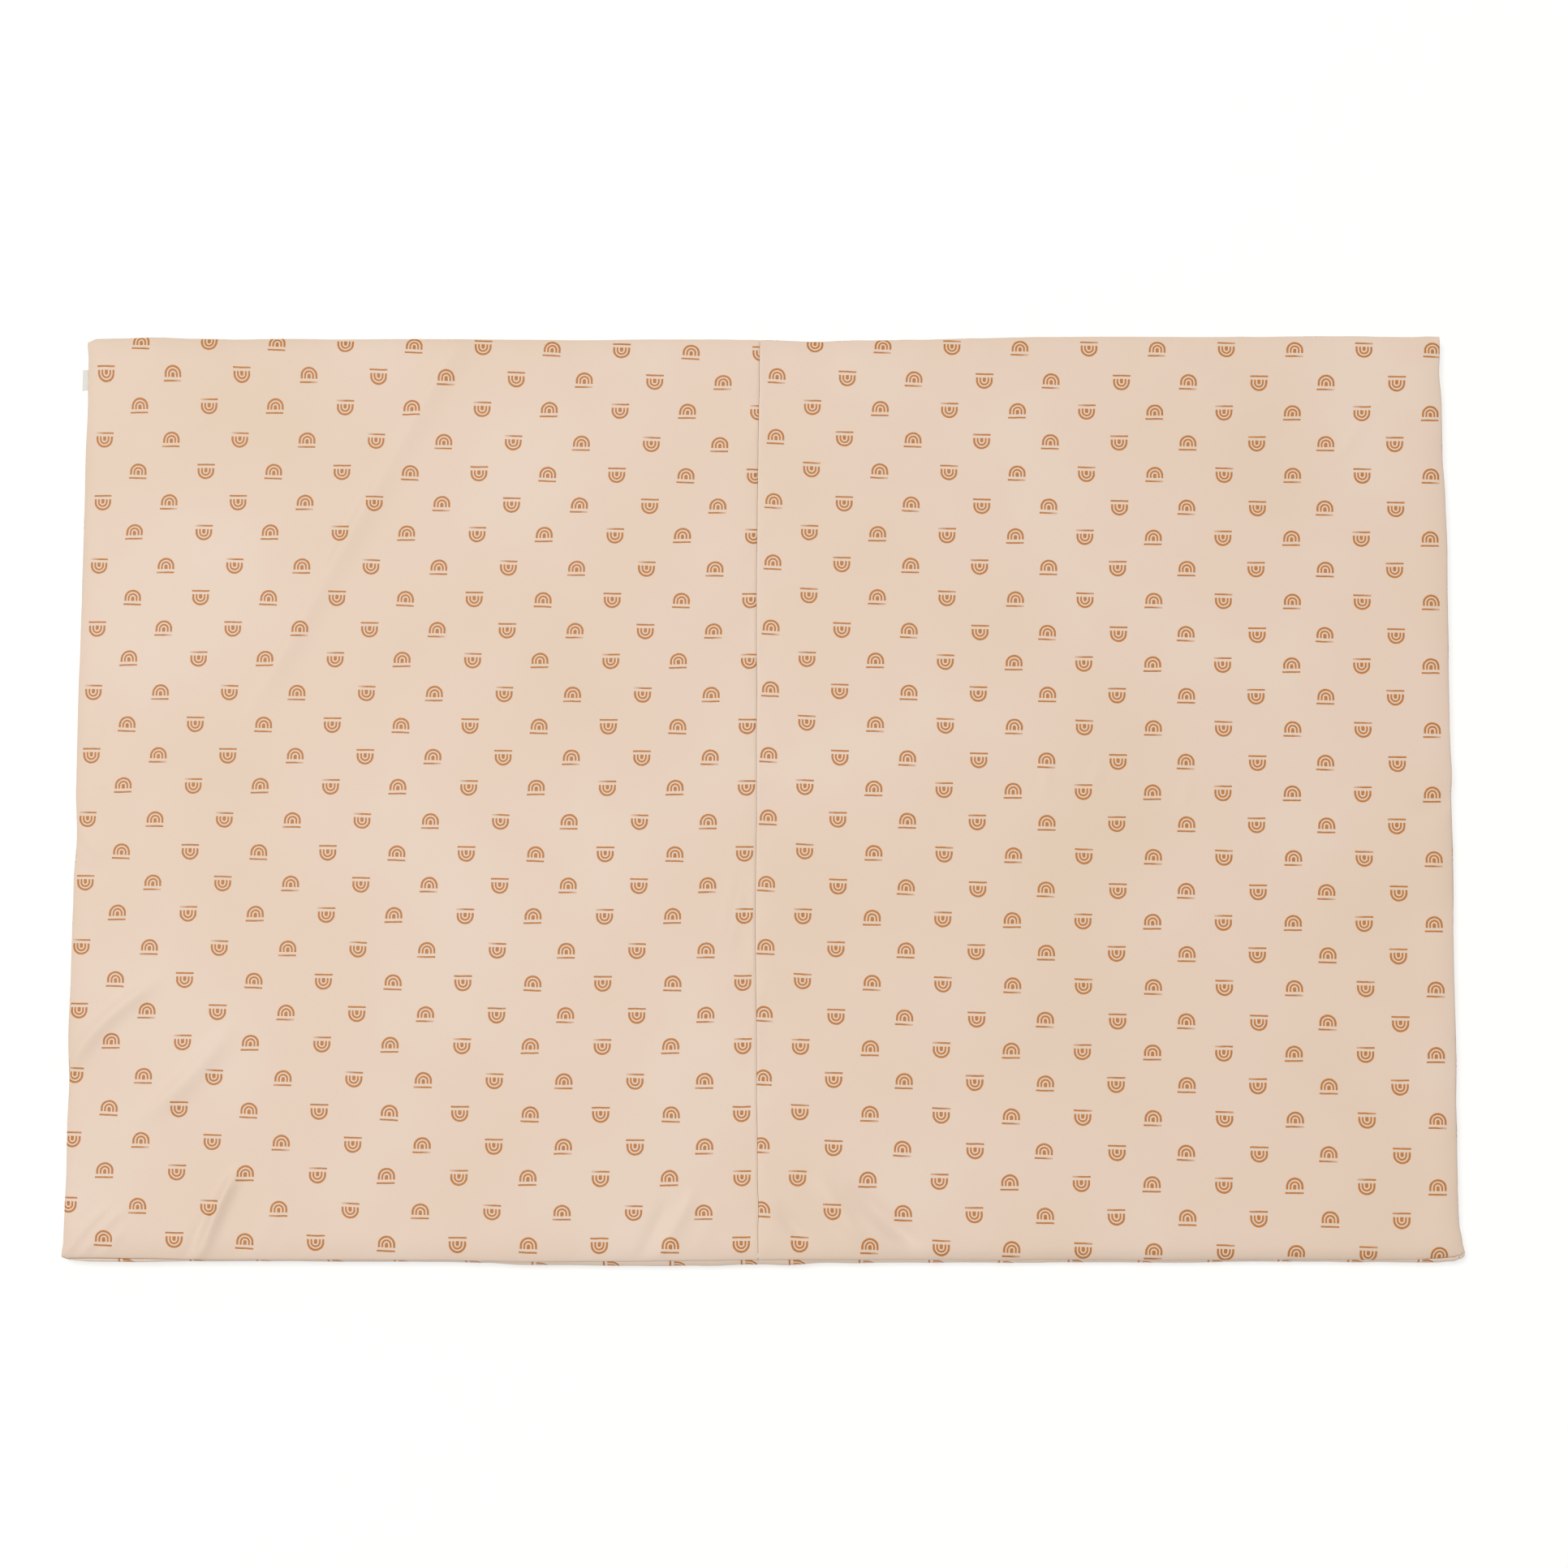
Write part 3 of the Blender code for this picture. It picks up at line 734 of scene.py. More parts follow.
LEFT_FOLDS = (
    Fold((-0.338, 0.495), (-0.580, 0.043), 0.0095, 0.00170, True, 0.000, -0.60),
    Fold((-0.741, -0.292), (-0.640, -0.200), 0.0080, 0.0026, True, -0.008, 0.2),
    Fold((-0.674, -0.365), (-0.557, -0.240), 0.011, 0.0026, False, 0.004, 0.2),
    Fold((-0.739, -0.493), (-0.690, -0.440), 0.0040, 0.0011, True, -0.003, 0.2),
    Fold((-0.722, -0.498), (-0.676, -0.444), 0.0038, 0.0012, True, -0.003, 0.2),
    Fold((-0.701, -0.498), (-0.676, -0.464), 0.0038, 0.0008, True),
    Fold((-0.597, -0.494), (-0.557, -0.398), 0.0058, 0.0046, True, -0.003, 0.3),
    Fold((-0.609, -0.489), (-0.591, -0.449), 0.005, -0.0011, True),
    Fold((-0.537, -0.489), (-0.510, -0.432), 0.01, 0.0006, True),
    Fold((-0.124, -0.486), (-0.098, -0.432), 0.0065, -0.0012, True),
    Fold((-0.106, -0.490), (-0.068, -0.418), 0.006, 0.0012, True, 0.000, 0.2),
    Fold((-0.071, -0.490), (-0.041, -0.432), 0.007, 0.0004, True, 0.000, 0.2),
    Fold((-0.025, -0.078), (-0.044, -0.171), 0.005, 0.00035, False),
    Fold((-0.016, -0.094), (-0.035, -0.190), 0.005, 0.00035, False),
    Fold((-0.741, -0.048), (-0.705, -0.080), 0.006, 0.0010, True),
    Fold((-0.740, -0.084), (-0.702, -0.096), 0.006, -0.0009, True),
    Fold((-0.565, 0.468), (-0.682, 0.339), 0.007, 0.00035, False),
)
RIGHT_FOLDS = (
    Fold((0.012, -0.437), (0.062, -0.496), 0.008, -0.0026, False, 0.003),
    Fold((0.052, -0.405), (0.119, -0.496), 0.010, 0.0030, False, 0.003),
    Fold((0.086, -0.417), (0.177, -0.494), 0.009, -0.0036, False, 0.003),
    Fold((0.097, -0.451), (0.153, -0.501), 0.008, 0.0018, False),
    Fold((0.311, 0.044), (0.304, -0.021), 0.006, 0.00045, False),
    Fold((0.369, 0.040), (0.350, -0.016), 0.006, 0.00045, False),
    Fold((0.462, 0.015), (0.451, -0.029), 0.006, 0.00035, False),
    Fold((0.692, 0.452), (0.620, 0.351), 0.006, 0.0004, False),
    Fold((0.522, 0.476), (0.462, 0.418), 0.006, 0.00035, False),
    Fold((0.736, -0.017), (0.697, -0.023), 0.01, -0.0012, True),
)

LEFT_CHART = (
    PrintRow(1.4, 1.2, -0.8, 0.00),
    PrintRow(-0.4, 2.0, 0.1, 0.02),
    PrintRow(0.3, -0.5, 0.1, -0.01),
    PrintRow(-0.8, 0.2, 0.8, 0.00),
    PrintRow(0.8, -1.0, 0.0, 0.00),
    PrintRow(0.9, -0.8, 0.1, -0.03),
    PrintRow(-0.7, -0.8, -0.9, -0.03),
    PrintRow(-1.4, -0.45, -0.3, 0.00),
)
RIGHT_CHART = (
    PrintRow(0.5, 0.0, -0.7, 0.00),
    PrintRow(0.0, 0.5, 0.1, 0.01),
    PrintRow(0.3, -1.9, 0.0, -0.01),
    PrintRow(-1.5, -0.9, 0.8, -0.03),
    PrintRow(1.35, 0.2, 0.4, -0.02),
    PrintRow(0.9, 0.5, 0.7, -0.01),
    PrintRow(-1.0, 0.55, -0.3, 0.00),
    PrintRow(-0.9, 1.1, 0.1, -0.01),
)
LEFT_REPEAT = Repeat(
    origin=(-0.01843, -0.00202),
    column=(0.03749, -0.00035),
    row=(0.00066, 0.03487),
    first_column=0,
    pull=(
        (-0.99, 1.77, 0.25, 1.21, 3.38, 6.10, -0.94, 2.60, 5.40, 0.80),
        (1.99, 8.93, -2.15, 10.14, -6.46, -2.78, 3.84, -4.94, -5.18, 1.67),
    ),
    front_pull=(0.0, 3.0, 1.5, -0.5),
    back_pull=(0.0, -0.5, -3.5, 4.8),
    chart=LEFT_CHART,
)
RIGHT_REPEAT = Repeat(
    origin=(0.00685, 0.00126),
    column=(0.03771, -0.00051),
    row=(0.00064, 0.03508),
    first_column=3,
    pull=(
        (0.34, -1.77, -0.50, -0.19, -0.94, 0.11, 0.79, -0.39, 1.79, 2.46),
        (1.71, -9.34, 0.24, 10.50, -0.64, 0.29, -3.04, 0.88, -0.24, -0.77),
    ),
    front_pull=(3.4, 0.0, 0.3, -1.5),
    back_pull=(0.0, 0.6, 1.0, 1.6),
    chart=RIGHT_CHART,
)

SEAM_PUCKERS = (
    SeamPucker(0.011, 0.0045, 0.00022, 11),
    SeamPucker(0.034, 0.0140, 0.00040, 23),
)


@dataclass
class MatHalf:
    """One foam-filled half: its top panel, rolled edges, folds, and the boxing round it.

    Args:
        side: which half it is.
        folds: the folds of its top panel.
        repeat: how the print lies on its top panel.
        strip_print: for its front strip, metres to a motif and metres from row to row.
        seed: seed of its small unevenness.
    """

    side: Side
    folds: tuple[Fold, ...]
    repeat: Repeat
    strip_print: tuple[float, float]
    seed: int

    face_width: float = 1.490
    face_depth: float = 1.003
    fold_line: float = -0.005
    fold_set_back: float = 0.0012
    outer_corner: float = 0.0012
    fold_corner: float = 0.0003
    seam_height: float = 0.0238
    face_height: float = 0.0272
    crown: float = 0.0016
    roll_width: float = 0.026
    fold_roll_width: float = 0.0022
    fold_roll_share: float = 0.09
    fold_lip: float = 0.00102
    boxing_thickness: float = 0.0012
    full_bulge: float = 0.0026
    corner_pull: float = 0.3
    corner_pull_reach: float = 0.010
    fold_fill: float = 0.0011
    fold_fill_reach: float = 0.006
    piece_gap: float = 0.0004
    underside_drawn_in: float = 0.0022
    strip_corner_seam: float = 0.0055
    shelf_lift: float = 0.0015
    shelf_groove: float = 0.0010
    edge_stops: tuple[float, ...] = (
        0.0, 0.7, 1.5, 2.4, 3.4, 4.6, 6.0, 7.6, 9.4, 11.5, 14.0, 17.0, 20.5, 24.0,
    )
    inner_stop: float = 0.004
    side_heights: tuple[float, ...] = (1.0, 0.915, 0.80, 0.50, 0.22, 0.07, 0.0)
    side_shares: tuple[float, ...] = (-0.02, 0.22, 0.76, 1.00, 0.84, 0.45, 0.10)
    seam_lip: float = 0.00015
    seam_valley: float = 0.00170
    pad_shares: tuple[float, ...] = (0.90, 0.80, 0.65, 0.50, 0.36, 0.22, 0.12, 0.05)
    strip_shares: tuple[float, ...] = (
        0.90, 0.86, 0.80, 0.72, 0.64, 0.56, 0.48, 0.40, 0.32, 0.24, 0.17, 0.11, 0.065,
    )
    strip_inner_shares: tuple[float, ...] = (0.05, 0.22, 0.36, 0.50, 0.65, 0.80, 0.88)
    top_gather: float = 0.00035
    foot_gather: float = 0.00030
    gather_fade: float = 0.16
    strip_sag: float = 0.0008
    strip_dent: float = 0.0004
    foam_rise: float = 0.00035
    foam_spacing: float = 0.085

    @property
    def name(self) -> str:
        """The half's name, after its side."""
        return self.side.name.lower()

    @property
    def ends(self) -> tuple[float, float]:
        """The straight left and right edges of the top panel, in metres."""
        outer = self.side.value * self.face_width / 2.0
        inner = self.fold_line + self.side.value * self.fold_set_back
        return (min(outer, inner), max(outer, inner))

    @property
    def outer_edge(self) -> tuple[EdgeRow, ...]:
        """The table of the half's outer side."""
        return LEFT_EDGE if self.side is Side.LEFT else RIGHT_EDGE

    def stops(self, low: float, high: float) -> Values:
        """Places along an edge, close together at both ends and even between."""
        close = np.array(self.edge_stops) * MILLIMETRE
        inner = high - low - 2.0 * close[-1]
        count = round(inner / self.inner_stop)
        even = low + close[-1] + inner * np.arange(1, count) / count
        return np.concatenate((low + close, even, high - close[::-1]))

    def outline(self, x: Values, y: Values) -> Outline:
        """Moves points of the straight plan to where the cut and filled half has them.

        Args:
            x: metres to the right.
            y: metres away from the front.

        Returns:
            The moved points, with their outward directions and how far the side bulges there.
        """
        left, right = self.ends
        half_depth = self.face_depth / 2.0
        at_left = x - left < right - x
        at_front = y < 0.0
        side_facing = np.where(at_left, -1.0, 1.0)
        end_facing = np.where(at_front, -1.0, 1.0)
        from_side = np.minimum(x - left, right - x)
        from_end = half_depth - np.abs(y)
        outer_side = side_facing == self.side.value
        radius = np.where(outer_side, self.outer_corner, self.fold_corner)
        near, far = np.minimum(from_side, from_end), np.maximum(from_side, from_end)
        left_over, run = radius - near, far - near
        turning = (left_over > 0.0) & (run < left_over)
        turn = np.where(turning, math.pi / 4.0 * (1.0 - run / np.where(turning, left_over, 1.0)), 0.0)
        moved_near = np.where(turning, near + left_over * (1.0 - np.cos(turn)), near)
        moved_far = np.where(turning, near + left_over * (1.0 - np.sin(turn)), far)
        side_is_near = (from_side < from_end) | (outer_side & (from_side == from_end))
        moved_side = np.where(side_is_near, moved_near, moved_far)
        moved_end = np.where(side_is_near, moved_far, moved_near)
        # The boxing turns round an outer corner, and ends square at the fold line
        lean = np.where(outer_side, np.sin(turn), 0.0)
        straight = np.where(outer_side, np.cos(turn), 1.0)
        outer_rows = read_rows(self.outer_edge, y)
        side_out = np.where(outer_side, outer_rows[0], side_facing * read_rows(FOLD_EDGE, y)[0])
        front_rows, back_rows = read_rows(FRONT_EDGE, x), read_rows(BACK_EDGE, x)
        end_out = np.where(at_front, front_rows[0], back_rows[0])
        side_line = np.where(at_left, left, right)
        side_share = eased(1.0 - from_side / ((right - left) / 2.0))
        end_share = eased(1.0 - from_end / half_depth)
        side_bulge = np.where(outer_side, outer_rows[2], 0.0)
        end_bulge = np.where(at_front, front_rows[2], back_rows[2])
        bulge = np.where(side_is_near, side_bulge, end_bulge)
        corner_share = np.where(outer_side, turn / (math.pi / 4.0), 0.0)
        both = (side_bulge + end_bulge) / 2.0
        bulge = bulge + (both - bulge) * corner_share
        pull = np.where(outer_side, self.corner_pull, 0.0)
        bulge = bulge * (1.0 - pull * (1.0 - rolled(far, self.corner_pull_reach)))
        return Outline(
            x=side_line + side_facing * (side_out * side_share - moved_side),
            y=end_facing * (half_depth - moved_end + end_out * end_share),
            out_x=side_facing * np.where(side_is_near, straight, lean),
            out_y=end_facing * np.where(side_is_near, lean, straight),
            bulge=bulge,
            shelf=np.where(side_is_near, 0.0, np.where(at_front, front_rows[3], back_rows[3])),
            boxed=outer_side | ~side_is_near,
        )

    def fold_rise(self, fold: Fold, x: Values, y: Values) -> Values:
        """The height that one fold adds at each point."""
        run_x, run_y = fold.end[0] - fold.start[0], fold.end[1] - fold.start[1]
        length = math.hypot(run_x, run_y)
        along = ((x - fold.start[0]) * run_x + (y - fold.start[1]) * run_y) / length
        beside = ((x - fold.start[0]) * run_y - (y - fold.start[1]) * run_x) / length
        share = np.clip(along / length, 0.0, 1.0)
        beside = beside - fold.bow * 4.0 * share * (1.0 - share)
        width = fold.half_width * (1.0 + fold.lean * np.tanh(beside / fold.half_width))
        fade = 2.0 * fold.half_width + 0.25 * length
        at_end = eased((length - along) / fade)
        at_start = np.ones_like(along) if fold.open_start else eased(along / fade)
        strength = 1.0 + 0.25 * uneven(along, 0.05, self.seed + 3)
        return fold.rise * strength * np.exp(-((beside / width) ** 2)) * at_start * at_end

    def top(self, x: Values, y: Values) -> Values:
        """The height of the top panel over points of the straight plan."""
        left, right = self.ends
        half_depth = self.face_depth / 2.0
        share_x = (x - left) / (right - left)
        share_y = (y + half_depth) / self.face_depth
        crown = self.crown * np.sin(math.pi * share_x) * np.sin(math.pi * share_y)
        height = self.face_height + crown - self.seam_height
        to_left, to_right = x - left, right - x
        to_outer, to_fold = (to_left, to_right) if self.side is Side.LEFT else (to_right, to_left)
        edges = (
            (to_outer, self.outer_edge, y, self.roll_width, 1.0),
            (to_fold, FOLD_EDGE, y, self.fold_roll_width, self.fold_roll_share),
            (y + half_depth, FRONT_EDGE, x, self.roll_width, 1.0),
            (half_depth - y, BACK_EDGE, x, self.roll_width, 1.0),
        )
        sunk = np.zeros_like(x)
        puckers = np.zeros_like(x)
        for number, (distance, rows, at, width, share) in enumerate(edges):
            full = rolled(distance, width)
            height = height * (1.0 - share * (1.0 - full))
            sunk = sunk + read_rows(rows, at)[1] * (1.0 - rolled(distance, width * 0.5))
            for pucker in SEAM_PUCKERS:
                reach = distance / pucker.reach
                rise = pucker.rise * uneven(at, pucker.spacing, pucker.seed + self.seed + number)
                puckers += rise * reach * np.exp(1.0 - reach)
        nearest = np.minimum.reduce([edge[0] for edge in edges])
        folds = sum(self.fold_rise(fold, x, y) for fold in self.folds)
        foam = self.foam_rise * uneven_face(x, y, self.foam_spacing, self.seed) * rolled(nearest, 0.05)
        full = rolled(nearest, self.roll_width / 2.0)
        return self.seam_height + height - sunk + (folds + puckers) * full + foam

    def side_bulge_at(self, share: Values | float) -> Values:
        """How far the boxing stands out, as a share of its bulge, at a share of the seam's height."""
        heights = np.array(self.side_heights[::-1])
        shares = np.array(self.side_shares[::-1])
        index = np.clip(np.searchsorted(heights, share) - 1, 0, len(heights) - 2)
        slope = np.gradient(shares, heights)
        run = heights[index + 1] - heights[index]
        at = (share - heights[index]) / run
        start, end = shares[index], shares[index + 1]
        lift, drop = slope[index] * run, slope[index + 1] * run
        curve = (2 * at**3 - 3 * at**2 + 1) * start + (at**3 - 2 * at**2 + at) * lift
        return curve + (3 * at**2 - 2 * at**3) * end + (at**3 - at**2) * drop

    def side_outward(self, place: Outline, share: float) -> Values:
        """Metres that the boxing stands out beyond the seam at a share of the seam's height."""
        bulge = self.side_bulge_at(share)
        if share > 0.5:
            bulge = max(bulge, 0.0) ** (1.0 - 0.7 * place.shelf)
        return place.bulge * bulge

    def build_pad(self, materials: list[Material]) -> Piece:
        """Builds the filled half as one closed form.

        Args:
            materials: the printed and the plain faux leather.

        Returns:
            The piece.
        """
        across = self.stops(*self.ends)
        away = self.stops(-self.face_depth / 2.0, self.face_depth / 2.0)
        plan_x, plan_y = (grid.ravel() for grid in np.meshgrid(across, away))
        place = self.outline(plan_x, plan_y)
        height = self.top(plan_x, plan_y)
        wide, deep = len(across), len(away)
        number = np.arange(wide * deep).reshape(deep, wide)
        quads = np.stack((number[:-1, :-1], number[:-1, 1:], number[1:, 1:], number[1:, :-1]), axis=-1)
        faces = [tuple(quad) for quad in quads.reshape(-1, 4).tolist()]
        rim = np.concatenate((number[0, :-1], number[:-1, -1], number[-1, :0:-1], number[:0:-1, 0]))
        points = [np.stack((place.x, place.y, height), axis=-1)]
        cloth = [self.repeat.lay(place.x, place.y)]

        # Down from the rim: over the seam's lip, into its valley, behind the boxing, and under
        edge = self.outline(plan_x[rim], plan_y[rim])
        seam = height[rim]
        skin = np.where(edge.boxed, self.boxing_thickness + self.piece_gap, 0.0)
        lip = np.where(edge.boxed, self.seam_lip, self.fold_lip)
        valley = np.where(edge.boxed, self.seam_valley, 0.0)
        rows = [
            (lip, seam - np.where(edge.boxed, 0.00025, 0.00010)),
            (lip, seam - 0.00060),
            (-0.3 * valley, seam - 0.00110),
            (-valley, seam - 0.00130),
        ]
        for share in self.pad_shares:
            outward = edge.bulge * self.side_bulge_at(share) - skin
            rows.append((outward - 0.0002, seam * share))
        rows.append((-self.underside_drawn_in, np.zeros_like(seam)))
        last = rim
        for outward, level in rows:
            x, y = edge.moved(outward)
            first = sum(len(block) for block in points)
            points.append(np.stack((x, y, level), axis=-1))
            cloth.append(self.repeat.lay(x, y))
            following = first + np.arange(len(rim))
            faces += band(last, following)
            last = following
        faces.append(tuple(last[::-1].tolist()))
        name = f"{self.name}_filled_half"
        piece = new_piece(name, np.concatenate(points), faces, materials, np.concatenate(cloth))
        piece.data.polygons[-1].material_index = 1
        return piece

    def strip_path(self, strip: Strip) -> tuple[Values, Values]:
        """The straight outline under one boxing strip, in order from the fold's front corner round."""
        left, right = self.ends
        outer, inner = (left, right) if self.side is Side.LEFT else (right, left)
        half_depth = self.face_depth / 2.0
        away = self.stops(-half_depth, half_depth)
        across = self.stops(left, right)
        towards_outer = across if self.side is Side.RIGHT else across[::-1]
        wrap = np.array((0.0038, 0.0026, 0.0014))
        trim = self.piece_gap / 2.0
        seam = self.strip_corner_seam
        front_x = np.concatenate((np.full(3, inner), towards_outer))
        front_y = np.concatenate((-half_depth + wrap, np.full(len(towards_outer), -half_depth)))
        if strip is Strip.OUTER:
            end = outer - self.side.value * (seam - trim)
            run = np.linspace(end, outer, 12)[:-1]
            x = np.concatenate((run, np.full(len(away), outer), run[::-1]))
            y = np.concatenate((np.full(11, -half_depth), away, np.full(11, half_depth)))
            return x, y
        keep = np.abs(front_x - outer) > seam + 2.0 * trim
        end = outer - self.side.value * (seam + trim)
        x = np.append(front_x[keep], end)
        y = np.append(front_y[keep], -half_depth)
        if strip is Strip.FRONT:
            return x, y
        return x[::-1], -y[::-1]

    def build_strip(self, strip: Strip, material: Material) -> tuple[Piece, tuple]:
        """Builds one boxing strip as a thin closed sheet.

        Args:
            strip: which of the three.
            material: the printed faux leather of the boxing.

        Returns:
            The piece, and the width and length that it was cut to.
        """
        plan_x, plan_y = self.strip_path(strip)
        place = self.outline(plan_x, plan_y)
        # Its ends fill up to the fold line, against the other half's
        from_fold = np.abs(plan_x - self.ends[0 if self.side is Side.RIGHT else 1])
        place.x -= self.side.value * self.fold_fill * eased(1.0 - from_fold / self.fold_fill_reach)
        seam = self.top(plan_x, plan_y)
        gaps = np.hypot(np.diff(place.x), np.diff(place.y))
        along = np.concatenate(((0.0,), np.cumsum(gaps)))
        length = along[-1]
        seed = self.seed + 40 + 7 * list(Strip).index(strip)
        at_ends = rolled(np.minimum(along, length - along), 0.0016)
        lift, groove = self.shelf_lift * place.shelf, self.shelf_groove * place.shelf
        outer_rows = [
            (-0.0012, seam - 0.00190),
            (-0.0002 + groove * 0.4, seam - 0.00180),
            (-0.0001 + groove, seam - 0.00190 + lift * 0.9),
        ]
        for share in self.strip_shares:
            bulge = self.side_outward(place, share)
            near_top = math.exp(-(1.0 - share) / self.gather_fade)
            near_foot = math.exp(-share / self.gather_fade)
            middle = math.sin(math.pi * share)
            gathers = self.top_gather * uneven(along, 0.008, seed) * near_top
            gathers += self.foot_gather * uneven(along, 0.010, seed + 1) * near_foot
            sag = self.strip_sag * uneven(along, 0.11, seed + 2) * middle
            dents = self.strip_dent * uneven(along + share * 0.01, 0.028, seed + 3) * middle
            extra = np.maximum(gathers + sag + dents, -0.0005)
            level = seam * share + lift * max(share - 0.5, 0.0) / 0.4
            outer_rows.append((bulge + extra * np.minimum(place.bulge / self.full_bulge, 1.0), level))
        outer_rows.append((place.bulge * self.side_bulge_at(0.02) - 0.0004, seam * 0.022))
        dip = 0.0011 * (1.0 - at_ends)
        outer_rows = [(outward - dip, level) for outward, level in outer_rows]
        inner_rows = []
        for share in self.strip_inner_shares:
            outward = self.side_outward(place, share) - self.boxing_thickness
            inner_rows.append((outward, seam * share))
        inner_rows.append((np.full_like(seam, -0.0012), seam - 0.0024))

        points, cloth = [], []
        down = np.zeros_like(seam)
        before = None
        origin, pitch = self.strip_print if strip is Strip.FRONT else (0.012, 0.0371)
        row_at = (place.x - origin) / pitch if strip is Strip.FRONT else along / pitch + 0.3
        for outward, level in outer_rows + inner_rows:
            x, y = place.moved(outward)
            if before is not None and len(points) < len(outer_rows):
                down = down + np.hypot(outward - before[0], level - before[1])
            before = (outward, level)
            points.append(np.stack((x, y, level), axis=-1))
            # The strips were cut across the cloth, so its columns run down them
            column_at = (down / MILLIMETRE - 10.5) / 37.6 + 2.0
            cloth.append(np.stack((column_at, row_at), axis=-1))
        faces = tube_faces(len(points), len(along))
        if self.side is Side.LEFT:
            faces = [face[::-1] for face in faces]
        name = f"{self.name}_{strip.value}_boxing_strip"
        piece = new_piece(name, np.concatenate(points), faces, [material], np.concatenate(cloth))
        return piece, (round(float(down.mean()), 4), round(float(length), 4))


def band(upper: Values, lower: Values, closed: bool = True) -> list[Face]:
    """Faces between two rows of points that run anticlockwise, seen from above.

    Args:
        upper: numbers of the upper row's points.
        lower: numbers of the lower row's points.
        closed: True where the rows run round and meet.

    Returns:
        The faces.
    """
    next_upper, next_lower = np.roll(upper, -1), np.roll(lower, -1)
    quads = np.stack((upper, lower, next_lower, next_upper), axis=-1)
    if not closed:
        quads = quads[:-1]
    return [tuple(quad) for quad in quads.tolist()]


def tube_faces(rows: int, count: int) -> list[Face]:
    """Faces of a closed sheet: its rows of points joined in a ring, and its two ends shut."""
    number = np.arange(rows * count).reshape(rows, count)
    faces = []
    for row in range(rows):
        faces += band(number[row], number[(row + 1) % rows], closed=False)
    return faces + [tuple(number[:, 0].tolist()), tuple(number[::-1, -1].tolist())]


